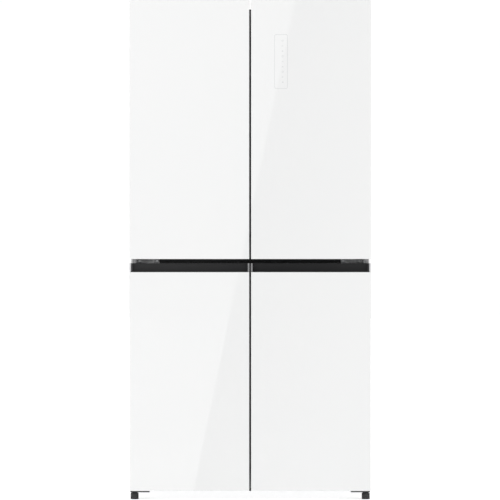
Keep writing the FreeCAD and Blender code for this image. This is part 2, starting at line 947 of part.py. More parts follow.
def mullion_lugs():
    """Lugs on the left door liner that hold the mullion's pins above and below it."""
    lugs = []
    reach = (-upper_dyke_inner - 4, mullion_axis_x + 6)
    depth = (mullion_axis_y - lug_thickness, mullion_axis_y + lug_thickness)
    for near, away in ((mullion_low, -1), (mullion_high, 1)):
        lug = block(reach, depth, (near + away * running_gap, near + lug_thickness * away))
        pin = rod("z", mullion_pin, (mullion_axis_x, mullion_axis_y),
                  (near - mullion_pin_depth * away, near + lug_thickness * away))
        lugs += [lug, pin]
    return lugs


def flip_mullion():
    """Heated bar that closes the gap behind the upper doors, folded against the door."""
    body = new_body()
    left = mullion_axis_x - (mullion_thickness - mullion_knuckle)
    right = mullion_axis_x + mullion_knuckle
    front = mullion_axis_y - mullion_corner
    pad(body, "XY_Plane", rectangle((left, right), (front, mullion_back)),
        (mullion_low, mullion_high))
    soften(body, "Fillet", mullion_corner,
           lambda edge: along("z")(edge) and at_level("x", right)(edge))
    nub = rod("z", nub_radius, (mullion_axis_x, mullion_axis_y + nub_reach),
              (mullion_high - 1, mullion_high + nub_length))
    bore_depth = mullion_pin_depth + 1
    bores = [rod("z", mullion_pin + pin_play, (mullion_axis_x, mullion_axis_y), ends)
             for ends in ((mullion_low - 1, mullion_low + bore_depth),
                          (mullion_high - bore_depth, mullion_high + 1))]
    return node("flip_mullion", cut(fuse(body, nub), *bores))


def mullion_guide():
    """Guide block in the ceiling, its cam pocket open towards the doors."""
    low = mullion_high + 8
    margin = nub_radius + cam_play
    near = mullion_axis_x - margin
    far = mullion_axis_x + nub_reach + margin + 3
    back = mullion_axis_y + nub_reach + margin
    base = block((near - guide_wall, far + guide_wall), (case_front + 4, back + 12),
                 (low, cavity_top))
    cam = block((near, far), (case_front - 1, back), (low - 1, cavity_top - 4))
    return node("mullion_guide", cut(base, cam))


# ---------------------------------------------------------------- inside

trim_below = 7
trim_above = 8
front_lift = 14
hood_inset = 60
hood_reach = 12
hood_drop = 32
hood_thickness = 4


def shelves():
    """Glass shelves on the liner's ledges, each with a front and a rear trim."""
    half = cavity_half - drawer_play
    glasses, trims = [], []
    for level in shelf_levels:
        glasses.append(block((-half, half), (shelf_front, shelf_back),
                             (level, level + shelf_glass)))
        for near, far in ((shelf_front - shelf_trim, shelf_front),
                          (shelf_back, shelf_back + shelf_trim)):
            trims.append(block((-half, half), (near, far), (level - trim_below, level + trim_above)))
    node("shelf_glasses", group(*glasses))
    node("shelf_trims", group(*trims))


def open_box(x, y, z, wall, front_lip):
    """A drawer: an open box whose front rises above its sides with a grip edge."""
    near, far = ordered(x)
    front, back = ordered(y)
    low, high = ordered(z)
    shell = cut(block((near, far), (front, back), (low, high - front_lip)),
                block((near + wall, far - wall), (front + wall * 2, back - wall),
                      (low + wall, high)))
    face = block((near, far), (front, front + wall * 2), (low, high))
    hood = block((near + hood_inset, far - hood_inset), (front - hood_reach, front),
                 (high - hood_drop - hood_thickness, high - hood_drop))
    return fuse(shell, face, hood)


def crispers():
    """Two vegetable drawers side by side under the lowest shelf."""
    for name, side in SIDES:
        node(f"crisper_{name}", open_box(
            (2 * side, (cavity_half - liner_radius * 0.4 - 2) * side),
            (shelf_front + crisper_recess, cavity_back - 40),
            (fridge_bottom + liner_radius * 0.35 + 2, shelf_levels[0] - 12),
            drawer_wall, front_lift))


def freezer_drawers():
    """Three drawers in each freezer; the lowest is short, in front of the step."""
    floors = drawer_floors()
    tops = [step_z - 4, floors[2] - 14, freezer_top - 10]
    backs = [step_y - 10, duct_front - 8, duct_front - 8]
    names = ("low", "middle", "high")
    for side_name, side in SIDES:
        x = ((post_half + drawer_play) * side, (cavity_half - drawer_play) * side)
        for name, floor, top, back in zip(names, floors, tops, backs):
            node(f"drawer_{side_name}_{name}", open_box(
                x, (case_front + drawer_setback, back), (floor, top), drawer_wall,
                front_lift + 2))


# ---------------------------------------------------------------- cold system

def vent_slots(x, y, z, count, height):
    """Level slots, evenly spread over a height."""
    low, high = ordered(z)
    pitch = (high - low) / count
    return [block(x, y, (low + pitch * i, low + pitch * i + height))
            for i in range(count)]


duct_half = 95
duct_end = 40
slot_half = 22
slot_height = 5


def fridge_duct_panel():
    """Hollow air duct cover up the back of the refrigerator compartment."""
    front = cavity_back - air_duct_depth
    z = (fridge_bottom + duct_end, cavity_top - duct_end)
    inside = duct_half - duct_panel
    shell = cut(block((-duct_half, duct_half), (front, cavity_back), z),
                block((-inside, inside), (front + duct_panel, cavity_back + 1),
                      (z[0] + duct_panel, z[1] - duct_panel)))
    slots = []
    for level in shelf_levels:
        for middle in (-60, 60):
            slots += vent_slots((middle - slot_half, middle + slot_half),
                                (front - 1, front + duct_panel * 3),
                                (level + shelf_space * 0.3, level + shelf_space * 0.45),
                                3, slot_height)
    return node("fridge_duct_panel", cut(shell, *slots))


hub_radius = 16
blade_count = 5
blade_pitch = 32
blade_thickness = 2
blade_root = 3
fan_shaft = 2
motor_radius = 18


def fan_blades(axis, centre, low, radius):
    """Hub and pitched blades of an axial fan round one of the axes X and Y."""
    hub = rod(axis, hub_radius, centre, (low, low + fan_thickness))
    chord = fan_thickness.value * 1.25
    blades = []
    for i in range(blade_count):
        blade = doc.addObject("Part::Box", "blade")
        blade.setExpression("Length", (radius - fan_clearance - hub_radius
                                       + blade_root).formula)
        blade.setExpression("Width", f"{chord}")
        blade.setExpression("Height", f"{blade_thickness}")
        turn = FreeCAD.Rotation(FreeCAD.Vector(0, 0, 1), 360 / blade_count * i)
        tilt = FreeCAD.Rotation(FreeCAD.Vector(1, 0, 0), blade_pitch)
        spread = FreeCAD.Placement(FreeCAD.Vector(hub_radius - blade_root, 0, 0), tilt)
        centred = FreeCAD.Placement(
            FreeCAD.Vector(0, -chord / 2, -blade_thickness / 2), FreeCAD.Rotation())
        spot = [as_size(c).value for c in centre]
        spot.insert("xyz".index(axis), (low + fan_thickness / 2).value)
        seat = FreeCAD.Placement(FreeCAD.Vector(*spot), TURN_TO_AXIS[axis])
        wheel = FreeCAD.Placement(FreeCAD.Vector(), turn)
        blade.Placement = seat.multiply(wheel).multiply(spread).multiply(centred)
        blades.append(blade)
    bore = rod(axis, fan_shaft + pin_play, centre, (low - 1, low + fan_thickness - 4))
    return cut(fuse(hub, *blades), bore)


def fan_mount(axis, centre, low, radius, frame):
    """Spider with a motor behind a fan; its shaft enters the rotor's bore."""
    motor_front = low - running_gap
    motor = rod(axis, motor_radius, centre, (motor_front - motor_depth, motor_front))
    shaft = rod(axis, fan_shaft, centre, (motor_front - 1, low + fan_thickness - 6))
    pieces = [frame, motor, shaft]
    across = "xyz".replace(axis, "")
    for k in range(2):
        spans = {axis: (motor_front - motor_depth, motor_front - motor_depth + 4)}
        for j, name in enumerate(across):
            reach = radius + 5 if j == k else 4
            spans[name] = (centre[j] - reach, centre[j] + reach)
        pieces.append(block(spans["x"], spans["y"], spans["z"]))
    return fuse(*pieces)


freezer_middle = (post_half + cavity_half) / 2
freezer_half = (cavity_half - post_half) / 2
evaporator_fan_centre = (-freezer_middle, freezer_top - fan_radius - 34)
evaporator_fan_front = duct_front + duct_panel + 24
grille_height = 90
grille_end = 40


def freezer_duct_panels():
    """Panels in front of the evaporator space; the left one carries its fan."""
    panels = []
    for _, side in SIDES:
        x = ((post_half + 1) * side, (cavity_half - 1) * side)
        face = block(x, (duct_front, duct_front + duct_panel),
                     (step_z + 1, freezer_top - 1))
        middle = freezer_middle * side
        grille = (middle - freezer_half * 0.4, middle + freezer_half * 0.4)
        slots = vent_slots(grille, (duct_front - 1, duct_front + 9),
                           (step_z + grille_end, step_z + grille_end + grille_height),
                           6, slot_height + 1)
        if side == RIGHT:
            slots += vent_slots(grille, (duct_front - 1, duct_front + 9),
                                (freezer_top - grille_end - grille_height,
                                 freezer_top - grille_end), 6, slot_height + 1)
            panels.append(cut(face, *slots))
            continue
        opening = rod("y", fan_radius, evaporator_fan_centre,
                      (duct_front - 1, duct_front + 9))
        depth = (duct_front + duct_panel, evaporator_fan_front + fan_thickness)
        ring = cut(rod("y", fan_radius + 3, evaporator_fan_centre, depth),
                   rod("y", fan_radius, evaporator_fan_centre,
                       (duct_front, depth[1] + 1)))
        panel = fuse(cut(face, opening, *slots), ring)
        panels.append(fan_mount("y", evaporator_fan_centre, evaporator_fan_front,
                                fan_radius, panel))
    return node("freezer_duct_panels", group(*panels))


fin_margin = 12
fin_thickness = 1.2
tube_radius = 4
bend_width = 6


def finned_block(x, y, z, fins, tubes):
    """Heat exchanger: thin upright fins across X on rows of level tubes."""
    low, high = ordered(x)
    near, far = ordered(y)
    bottom, top = ordered(z)
    pitch = (high - low - fin_margin * 2) / (fins - 1)
    pieces = []
    for i in range(fins):
        edge = low + fin_margin + pitch * i
        pieces.append(block((edge, edge + fin_thickness), (near, far), (bottom, top)))
    rows = [near + (far - near) / 4, far - (far - near) / 4]
    drop = (top - bottom) / tubes
    for row in rows:
        for k in range(tubes):
            level = bottom + drop * k + drop / 2
            pieces.append(rod("x", tube_radius, (row, level), (low, high)))
    for k in range(tubes):
        level = bottom + drop * k + drop / 2
        half = bend_width / 2
        pieces.append(block((low, low + bend_width), (rows[0], rows[1]),
                            (level - half, level + half)))
        if k:
            pieces.append(block((high - bend_width, high), (rows[0] - half, rows[0] + half),
                                (level - drop, level)))
    return fuse(*pieces)


evaporator_height = 210
evaporator_play = 8


def evaporator():
    """Finned evaporator behind the left freezer duct panel."""
    reach = freezer_half - 25
    low = step_z + 14
    x = (-freezer_middle - reach, -freezer_middle + reach)
    y = (duct_front + duct_panel + evaporator_play, cavity_back - evaporator_play)
    return node("evaporator", finned_block(x, y, (low, low + evaporator_height), 24, 5))


room_middle_y = (room_front + case_back) / 2
fan_x = -60
compressor_x = 190
room_floor = base_height + deck_thickness
condenser_fan_radius = fan_radius * 1.5
condenser_fan_centre = (room_middle_y, room_floor + condenser_fan_radius + 14)
condenser_length = 194
condenser_half_depth = 78
condenser_height = 160
shell_wall = 3


def compressor():
    """Hermetic compressor: welded shell on a base with four feet, with its terminals."""
    shell = new_body()
    radius = compressor_radius
    waist = radius - shell_wall
    low = room_floor + 14
    high = low + compressor_height
    seam = room_floor + 92
    revolve(shell, [(0, low), (radius - 22, low), (waist, low + 26), (waist, seam),
                    (radius, seam), (radius, seam + 6), (waist, seam + 6),
                    (waist, high - 40), (radius - 28, high - 6), (radius - 50, high),
                    (0, high)])
    place(shell, compressor_x, room_middle_y, 0)
    base = block((compressor_x - radius, compressor_x + radius),
                 (room_middle_y - 34, room_middle_y + 34), (low - 2, low + 2))
    pieces = [shell, base]
    for x in (-1, 1):
        for y in (-1, 1):
            spot = (compressor_x + (radius - 12) * x, room_middle_y + 24 * y)
            pieces.append(rod("z", 11, spot, (room_floor, low + 4)))
    terminals = compressor_x + radius
    pieces.append(block((terminals - 10, terminals + 30),
                        (room_middle_y - 30, room_middle_y + 30),
                        (room_floor + 62, room_floor + 126)))
    return node("compressor", fuse(*pieces))


def condenser():
    """Finned condenser beside its fan in the machine room."""
    low = room_floor + 6
    near = fan_x - 46
    x = (near - condenser_length, near)
    y = (room_middle_y - condenser_half_depth, room_middle_y + condenser_half_depth)
    return node("condenser", finned_block(x, y, (low, low + condenser_height), 18, 5))


def condenser_fan_frame():
    """Square frame with the motor of the condenser fan."""
    reach = condenser_fan_radius + 8
    y, z = condenser_fan_centre
    depth = (fan_x - motor_depth, fan_x + fan_thickness + 4)
    plate_part = block(depth, (y - reach, y + reach), (room_floor, z + reach))
    opening = rod("x", condenser_fan_radius, (y, z), (fan_x - 40, fan_x + 40))
    return node("condenser_fan_frame",
                fan_mount("x", condenser_fan_centre, as_size(fan_x + 2),
                          condenser_fan_radius, cut(plate_part, opening)))


def fans():
    node("condenser_fan", fan_blades("x", condenser_fan_centre, as_size(fan_x + 2),
                                     condenser_fan_radius))
    node("evaporator_fan", fan_blades("y", evaporator_fan_centre, evaporator_fan_front,
                                      fan_radius))


gland_x = -case_half + 60
gland_z = base_height + 60
gland_neck = 9
gland_collar = 13
gland_bore = 4.5
louvre_middle = 190
louvre_half = 120


def machine_room_cover():
    """Louvred steel cover over the back of the machine room."""
    z = (base_height + 4, room_top - plate - 1)
    y = (case_back - steel, case_back)
    face = block((-case_inner, case_inner), y, z)
    slots = []
    for middle in (-louvre_middle, louvre_middle):
        slots += vent_slots((middle - louvre_half, middle + louvre_half),
                            (case_back - 5, case_back + 5),
                            (base_height + 40, room_top - 50), 9, 7)
    hole = rod("y", gland_neck, (gland_x, gland_z), (case_back - 5, case_back + 5))
    return node("machine_room_cover", cut(face, hole, *slots))


def cord_gland():
    """Bushing in the cover where the supply lead would enter."""
    collar = rod("y", gland_collar, (gland_x, gland_z), (case_back, case_back + 5))
    neck = rod("y", gland_neck, (gland_x, gland_z), (case_back - 8, case_back + rear_standoff))
    bore = rod("y", gland_bore, (gland_x, gland_z), (case_back - 9, case_back + 20))
    return node("cord_gland", cut(fuse(collar, neck), bore))


# ---------------------------------------------------------------- build and write

outer_case()
front_frame()
back_panel()
base_panel()
compressor_plate()
rollers()
insulation_foam()
fridge_liner()
freezer_liners()
top_hinges()
top_hinge_covers()
middle_hinges()
bottom_hinges()
feet()
hinge_screws()

for side_name, side_sign in SIDES:
    upper = f"upper_{side_name}"
    lower = f"lower_{side_name}"
    door_glass(upper, side_sign, upper_door_bottom, overall_height)
    door_glass(lower, side_sign, lower_door_bottom, grip_top)
    upper_door_slab(upper, side_sign)
    lower_door_slab(lower, side_sign)
    grip_profile(lower, side_sign)
    door_gasket(upper, side_sign, upper_seal_bottom, upper_seal_top)
    door_gasket(lower, side_sign, lower_seal_bottom, lower_seal_top)
    door_liner(upper, side_sign, upper_door_bottom, overall_height,
               (fridge_bottom, cavity_top), upper_dyke_inner, upper_dyke_depth)
    door_liner(lower, side_sign, lower_door_bottom, lower_door_top,
               (freezer_bottom, freezer_top), lower_dyke_inner, lower_dyke_depth)
    door_bins(upper, side_sign)

touch_control()
flip_mullion()
mullion_guide()
shelves()
crispers()
freezer_drawers()
fridge_duct_panel()
freezer_duct_panels()
evaporator()
compressor()
condenser()
condenser_fan_frame()
fans()
machine_room_cover()
cord_gland()

doc.recompute()
for thing in doc.Objects:
    if {"Invalid", "Error"} & set(thing.State):
        raise RuntimeError(f"{thing.Name} ({thing.Label}) failed: {thing.State}")

os.makedirs("parts", exist_ok=True)
for label, thing in nodes.items():
    shape = thing.Shape
    if shape.isNull() or not shape.isValid() or not shape.Solids:
        raise RuntimeError(f"{label} has no valid shape")
    shape.exportStep(f"parts/{label}.step")
print(f"{len(nodes)} nodes written")
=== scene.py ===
import json
import math

import bmesh
import bpy
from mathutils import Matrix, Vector

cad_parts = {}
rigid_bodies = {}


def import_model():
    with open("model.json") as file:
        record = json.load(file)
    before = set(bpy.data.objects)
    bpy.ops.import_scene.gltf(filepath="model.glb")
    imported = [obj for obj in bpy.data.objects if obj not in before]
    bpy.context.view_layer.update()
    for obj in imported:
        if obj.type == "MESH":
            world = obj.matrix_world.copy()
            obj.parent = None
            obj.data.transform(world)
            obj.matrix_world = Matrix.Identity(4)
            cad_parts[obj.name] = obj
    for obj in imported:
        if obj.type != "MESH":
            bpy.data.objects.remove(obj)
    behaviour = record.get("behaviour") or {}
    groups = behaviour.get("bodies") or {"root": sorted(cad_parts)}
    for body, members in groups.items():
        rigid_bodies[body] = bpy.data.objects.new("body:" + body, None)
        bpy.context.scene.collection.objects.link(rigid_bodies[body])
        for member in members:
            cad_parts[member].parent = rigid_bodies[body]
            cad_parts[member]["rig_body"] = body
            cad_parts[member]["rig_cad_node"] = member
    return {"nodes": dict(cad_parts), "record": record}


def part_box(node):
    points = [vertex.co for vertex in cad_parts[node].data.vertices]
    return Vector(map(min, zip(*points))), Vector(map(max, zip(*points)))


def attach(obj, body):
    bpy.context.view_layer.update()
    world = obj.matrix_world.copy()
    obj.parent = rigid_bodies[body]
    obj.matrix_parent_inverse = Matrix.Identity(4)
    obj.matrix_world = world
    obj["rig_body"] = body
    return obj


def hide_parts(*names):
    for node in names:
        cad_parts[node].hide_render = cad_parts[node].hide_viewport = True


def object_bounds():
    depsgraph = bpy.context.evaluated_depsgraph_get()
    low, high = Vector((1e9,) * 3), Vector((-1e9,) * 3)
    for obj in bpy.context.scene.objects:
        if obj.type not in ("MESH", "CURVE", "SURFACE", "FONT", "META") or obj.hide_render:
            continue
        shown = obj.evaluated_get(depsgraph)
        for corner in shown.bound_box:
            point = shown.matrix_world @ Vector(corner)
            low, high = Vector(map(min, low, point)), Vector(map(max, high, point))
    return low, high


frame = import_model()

MM = 0.001
MERGE = 0.00001
SIDES = (("left", -1), ("right", 1))
DOORS = [(row, sign, f"{row}_{side}") for row in ("upper", "lower") for side, sign in SIDES]
cad_low, cad_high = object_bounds()
cad_nodes = frame["nodes"]
SLOT_OF = {part["node"]: part["material_slot"] for part in frame["record"]["subparts"]}
bpy.ops.object.select_all(action="DESELECT")


# -------- finishes

finishes = {}


class Finish:
    """A node material; its constants sit on the shader's own sockets."""

    def __init__(self, name, colour, roughness, **sockets):
        self.material = bpy.data.materials.new(name)
        self.material.use_nodes = True
        self.tree = self.material.node_tree
        self.shader = self.tree.nodes["Principled BSDF"]
        self.set("Base Color", (*colour, 1))
        self.set("Roughness", roughness)
        for socket, value in sockets.items():
            self.set(socket.replace("_", " "), value)
        self.place = self.tree.nodes.new("ShaderNodeTexCoord")
        self.colour = colour
        finishes[name] = self

    def set(self, socket, value):
        self.shader.inputs[socket].default_value = value

    def link(self, output, socket):
        self.tree.links.new(output, socket)

    def node(self, kind, **values):
        made = self.tree.nodes.new(kind)
        for key, value in values.items():
            setattr(made, key, value)
        return made

    def stretched(self, stretch):
        """Object coordinates, scaled differently along each axis."""
        mapping = self.node("ShaderNodeMapping")
        mapping.inputs["Scale"].default_value = stretch
        self.link(self.place.outputs["Object"], mapping.inputs["Vector"])
        return mapping.outputs["Vector"]

    def noise(self, scale, detail=3, stretch=(1, 1, 1)):
        cloud = self.node("ShaderNodeTexNoise")
        cloud.inputs["Scale"].default_value = scale
        cloud.inputs["Detail"].default_value = detail
        self.link(self.stretched(stretch), cloud.inputs["Vector"])
        return cloud.outputs["Fac"]

    def cells(self, scale):
        pattern = self.node("ShaderNodeTexVoronoi")
        pattern.inputs["Scale"].default_value = scale
        self.link(self.stretched((1, 1, 1)), pattern.inputs["Vector"])
        return pattern

    def spread(self, value, low, high, start=0.3, end=0.7):
        """Maps a pattern's value onto a range."""
        span = self.node("ShaderNodeMapRange")
        for socket, number in (("From Min", start), ("From Max", end),
                               ("To Min", low), ("To Max", high)):
            span.inputs[socket].default_value = number
        self.link(value, span.inputs["Value"])
        return span.outputs["Result"]

    def blend(self, value, one, other):
        """A colour between two colours, driven by a pattern."""
        mix = self.node("ShaderNodeMix", data_type="RGBA")
        mix.inputs["A"].default_value = (*one, 1)
        mix.inputs["B"].default_value = (*other, 1)
        self.link(value, mix.inputs["Factor"])
        return mix.outputs["Result"]

    def tinted(self, pattern, shade):
        """The base colour varies towards a shade of itself."""
        other = tuple(c * shade for c in self.colour)
        self.paint(self.blend(self.spread(pattern, 0, 1), self.colour, other))

    def paint(self, colour):
        self.link(colour, self.shader.inputs["Base Color"])

    def rough(self, pattern, low, high):
        self.link(self.spread(pattern, low, high), self.shader.inputs["Roughness"])

    def bump(self, pattern, height, strength=1.0):
        raised = self.node("ShaderNodeBump")
        raised.inputs["Distance"].default_value = height
        raised.inputs["Strength"].default_value = strength
        self.link(pattern, raised.inputs["Height"])
        self.link(raised.outputs["Normal"], self.shader.inputs["Normal"])

    def facing(self, axis):
        """How far the surface looks along one of the piece's own axes, 0 to 1."""
        parts = self.node("ShaderNodeSeparateXYZ")
        self.link(self.place.outputs["Normal"], parts.inputs["Vector"])
        size = self.node("ShaderNodeMath", operation="ABSOLUTE")
        self.link(parts.outputs[axis], size.inputs[0])
        return size.outputs["Value"]


def patterned(name, colour, roughness, tint, rough, bump=None, **sockets):
    """A finish with three cloud patterns, each given by its scale and detail and then
    the tint's shade, the lowest and highest roughness, or the relief's height."""
    made = Finish(name, colour, roughness, **sockets)
    *cloud, shade = tint
    made.tinted(made.noise(*cloud), shade)
    *cloud, low, high = rough
    made.rough(made.noise(*cloud), low, high)
    if bump:
        *cloud, height = bump
        made.bump(made.noise(*cloud), height)
    return made


def white_glass():
    """White paint behind float glass: mirror-flat front, faintly green ground edges."""
    white = (0.885, 0.888, 0.886)
    glass = Finish("white_glass", white, 0.03, IOR=1.5)
    edge = glass.spread(glass.facing("Y"), 1, 0, 0.2, 0.9)
    milky = glass.blend(glass.spread(glass.noise(3), 0, 1), white, (0.880, 0.884, 0.883))
    mix = glass.node("ShaderNodeMix", data_type="RGBA")
    mix.inputs["B"].default_value = (0.72, 0.80, 0.76, 1)
    glass.link(edge, mix.inputs["Factor"])
    glass.link(milky, mix.inputs["A"])
    glass.paint(mix.outputs["Result"])
    glass.rough(glass.noise(9, 5), 0.02, 0.05)


def zinc_steel():
    """Zinc-plated steel with soft spangle and rolling lines."""
    zinc = Finish("zinc_steel", (0.44, 0.445, 0.45), 0.34, Metallic=1.0)
    spangle = zinc.cells(110)
    zinc.paint(zinc.blend(zinc.spread(spangle.outputs["Distance"], 0, 1, 0, 0.6),
                          (0.46, 0.465, 0.47), (0.41, 0.415, 0.425)))
    lines = zinc.noise(60, 6, (1, 12, 12))
    zinc.rough(lines, 0.30, 0.44)
    zinc.bump(lines, 0.00003)


def charcoal_plastic():
    """Extruded charcoal profile: fine lines along its length, satin."""
    profile = Finish("charcoal_plastic", (0.011, 0.011, 0.012), 0.42, IOR=1.36)
    lines = profile.noise(500, 4, (0.02, 1, 1))
    profile.tinted(profile.noise(14, 3), 1.25)
    profile.rough(lines, 0.36, 0.48)
    profile.bump(lines, 0.00003)


def foam():
    """Rigid polyurethane foam with open cells."""
    cream = Finish("foam", (0.80, 0.70, 0.44), 0.9)
    cells = cream.cells(350)
    cream.tinted(cream.noise(20, 5), 0.9)
    cream.bump(cells.outputs["Distance"], 0.0006)


def shelf_glass():
    """Toughened glass, greener where it is seen through its edge."""
    clear = (0.93, 0.97, 0.955)
    glass = Finish("shelf_glass", clear, 0.02, Transmission_Weight=0.92, IOR=1.52)
    edge = glass.spread(glass.facing("Z"), 1, 0, 0.2, 0.9)
    glass.paint(glass.blend(edge, clear, (0.55, 0.80, 0.70)))
    glass.rough(glass.noise(12, 4), 0.01, 0.05)


def lamp_lens():
    """Frosted prismatic cover of the ceiling lamp."""
    lens = Finish("lamp_lens", (0.95, 0.95, 0.93), 0.4, Transmission_Weight=0.3)
    lens.tinted(lens.noise(30, 2), 0.97)
    lens.bump(lens.cells(500).outputs["Distance"], 0.0002)


white_glass()
zinc_steel()
charcoal_plastic()
foam()
shelf_glass()
lamp_lens()

# Coil-coated sheet steel: satin white with a fine orange-peel skin.
patterned("white_paint", (0.82, 0.82, 0.815), 0.34, (4, 4, 0.975), (30, 4, 0.30, 0.40),
          (900, 2, 0.00004), Coat_Weight=0.25, Coat_Roughness=0.2)
# Plated hinge steel, darkened as painted shade of the gap it sits in.
patterned("shade_darkened_steel", (0.34, 0.34, 0.345), 0.42, (120, 5, 0.6), (60, 5, 0.36, 0.55),
          (400, 3, 0.00003), Metallic=1.0)
# Black powder coat, slightly pebbled, dusted grey in the hollows.
patterned("dark_metal", (0.030, 0.030, 0.032), 0.48, (25, 5, 1.6), (60, 4, 0.42, 0.58),
          (1400, 2, 0.00006))
# Vacuum-formed polystyrene: glossy white with a fine skin.
patterned("white_plastic", (0.84, 0.845, 0.845), 0.32, (6, 3, 0.99), (30, 4, 0.29, 0.37),
          (900, 2, 0.00002))
# Moulded grey-white door frame with a fine spark-eroded grain.
patterned("door_casing", (0.60, 0.60, 0.61), 0.45, (12, 4, 0.96), (80, 4, 0.4, 0.52),
          (1500, 3, 0.00005))
# Soft grey vinyl seal, matte, with a waxy bloom.
patterned("gasket_rubber", (0.50, 0.50, 0.51), 0.62, (30, 4, 0.93), (120, 4, 0.55, 0.7),
          (700, 3, 0.00004), Sheen_Weight=0.15)
# Clear moulded polystyrene with a cool tint and faint flow marks.
clear_plastic = patterned("clear_plastic", (0.93, 0.965, 0.98), 0.06, (8, 3, 0.97),
                          (25, 3, 0.04, 0.12), Transmission_Weight=0.88, IOR=1.49)
clear_plastic.bump(clear_plastic.noise(40, 2), 0.0001, 0.3)
# Thin rolled aluminium, frost-dulled in patches.
patterned("aluminium_fins", (0.72, 0.73, 0.74), 0.35, (18, 5, 0.85), (45, 5, 0.30, 0.5),
          (300, 3, (1, 1, 0.2), 0.00005), Metallic=1.0)
# Moulded black nylon for feet, rollers, washers and fans.
patterned("black_plastic", (0.024, 0.024, 0.026), 0.45, (40, 4, 1.3), (90, 4, 0.38, 0.55),
          (900, 3, 0.00005))
# Thick black enamel on the compressor shell.
patterned("compressor_paint", (0.014, 0.014, 0.016), 0.2, (20, 4, 1.5), (50, 3, 0.16, 0.25),
          (200, 2, 0.00006), Coat_Weight=0.6, Coat_Roughness=0.08)
# Grey print on the front glass.
patterned("printed_grey", (0.60, 0.61, 0.62), 0.05, (60, 2, 0.94), (90, 2, 0.03, 0.08))
# Dark grey moulded cheek at the end of the grip.
patterned("grip_end_grey", (0.085, 0.085, 0.087), 0.5, (40, 3, 0.92), (80, 3, 0.45, 0.55))

# Two nodes look different from the rest of their material slot; the middle hinges' darker steel is
# painted shade.
OWN_FINISH = {"middle_hinges": "shade_darkened_steel", "bottom_hinges": "dark_metal"}


def coat(piece, finish):
    piece.data.materials.clear()
    piece.data.materials.append(finishes[finish].material)


def finish_cad_nodes():
    """Every CAD node takes the finish of its own material slot."""
    for node, slot in SLOT_OF.items():
        coat(cad_nodes[node], OWN_FINISH.get(node, slot))


# -------- modelling steps

def leave_edit_mode():
    if bpy.context.mode == "EDIT_MESH":
        bpy.ops.object.mode_set(mode="OBJECT")


def apply_place():
    """Moves the selected piece's place, turn and scale into its mesh."""
    bpy.ops.object.transform_apply(location=True, rotation=True, scale=True)


def select_whole():
    bpy.ops.mesh.select_all(action="SELECT")


def begin(name, kind, **options):
    """Adds a primitive at the origin and opens it in edit mode, all selected."""
    leave_edit_mode()
    bpy.ops.object.select_all(action="DESELECT")
    getattr(bpy.ops.mesh, f"primitive_{kind}_add")(**options)
    piece = bpy.context.object
    piece.name = name
    piece.data.name = name
    bpy.ops.object.mode_set(mode="EDIT")
    bpy.ops.mesh.select_mode(type="VERT")
    return piece


def block(name, one, other):
    """A block between two corners, in edit mode with all selected."""
    piece = begin(name, "cube", size=1)
    bpy.ops.transform.resize(value=[abs(a - b) for a, b in zip(one, other)])
    bpy.ops.transform.translate(value=[(a + b) / 2 for a, b in zip(one, other)])
    return piece


def pick(piece, kind, test):
    """Selects the faces or edges whose middle and direction pass a test."""
    bpy.ops.mesh.select_mode(type=kind)
    bpy.ops.mesh.select_all(action="DESELECT")
    form = bmesh.from_edit_mesh(piece.data)
    if kind == "FACE":
        chosen = [f for f in form.faces if test(f.calc_center_median(), f.normal)]
    else:
        chosen = [e for e in form.edges
                  if test((e.verts[0].co + e.verts[1].co) / 2,
                          (e.verts[1].co - e.verts[0].co).normalized())]
    for part in chosen:
        part.select_set(True)
    bmesh.update_edit_mesh(piece.data)


def round_off(width, segments=3):
    """Bevels the selected edges."""
    bpy.ops.mesh.bevel(offset=width, segments=segments, profile=0.5, affect="EDGES")


def rounded_block(name, one, other, width, segments=3):
    piece = block(name, one, other)
    round_off(width, segments)
    return piece


def sink(thickness, depth):
    """Insets the selected faces and pushes the new faces in."""
    bpy.ops.mesh.inset(thickness=thickness, depth=0)
    bpy.ops.mesh.extrude_region_shrink_fatten(
        TRANSFORM_OT_shrink_fatten={"value": -depth, "use_even_offset": True})


def close_up(piece):
    """Leaves edit mode with doubles merged, holes closed and faces outwards."""
    select_whole()
    bpy.ops.mesh.remove_doubles(threshold=MERGE)
    select_whole()
    bpy.ops.mesh.fill_holes(sides=0)
    select_whole()
    bpy.ops.mesh.normals_make_consistent(inside=False)
    bpy.ops.object.mode_set(mode="OBJECT")
    return piece


def raise_outline(piece, half, steps):
    """Raises the selected edge loop through (outset, height) steps."""
    size = list(half)
    level = 0.0
    for i, (outset, height) in enumerate(steps):
        target = [half[0] + outset, half[1] + outset]
        shift = (0, 0, height - level)
        if i:
            bpy.ops.mesh.extrude_region_move(TRANSFORM_OT_translate={"value": shift})
        else:
            bpy.ops.transform.translate(value=shift)
        level = height
        factor = (target[0] / size[0], target[1] / size[1], 1)
        bpy.ops.transform.resize(value=factor, center_override=(0, 0, level))
        size = [max(t, 1e-9) for t in target]
    return close_up(piece)


AXIS_TURN = {"z": (0, 0, 0), "y": (-math.pi / 2, 0, 0), "x": (0, math.pi / 2, 0)}


def stand(piece, axis, centre):
    """Turns a piece made along Z to another axis, and puts it in its place."""
    only(piece)
    piece.rotation_euler = AXIS_TURN[axis]
    piece.location = centre
    apply_place()
    return piece


def frame_ring(name, half, corner, steps, axis="z", centre=(0, 0, 0), segments=4):
    """A rounded rectangle raised through steps: a frame, a tub or a cap."""
    piece = begin(name, "plane", size=2)
    bpy.ops.transform.resize(value=(half[0], half[1], 1))
    bpy.ops.mesh.bevel(offset=corner, segments=segments, affect="VERTICES")
    bpy.ops.mesh.delete(type="ONLY_FACE")
    select_whole()
    return stand(raise_outline(piece, half, steps), axis, centre)


def turned(name, steps, axis="z", centre=(0, 0, 0), sides=32):
    """A turned piece from its (radius, height) outline."""
    radius = steps[0][0]
    piece = begin(name, "circle", vertices=sides, radius=radius)
    outline = [(r - radius, h) for r, h in steps]
    return stand(raise_outline(piece, (radius, radius), outline), axis, centre)


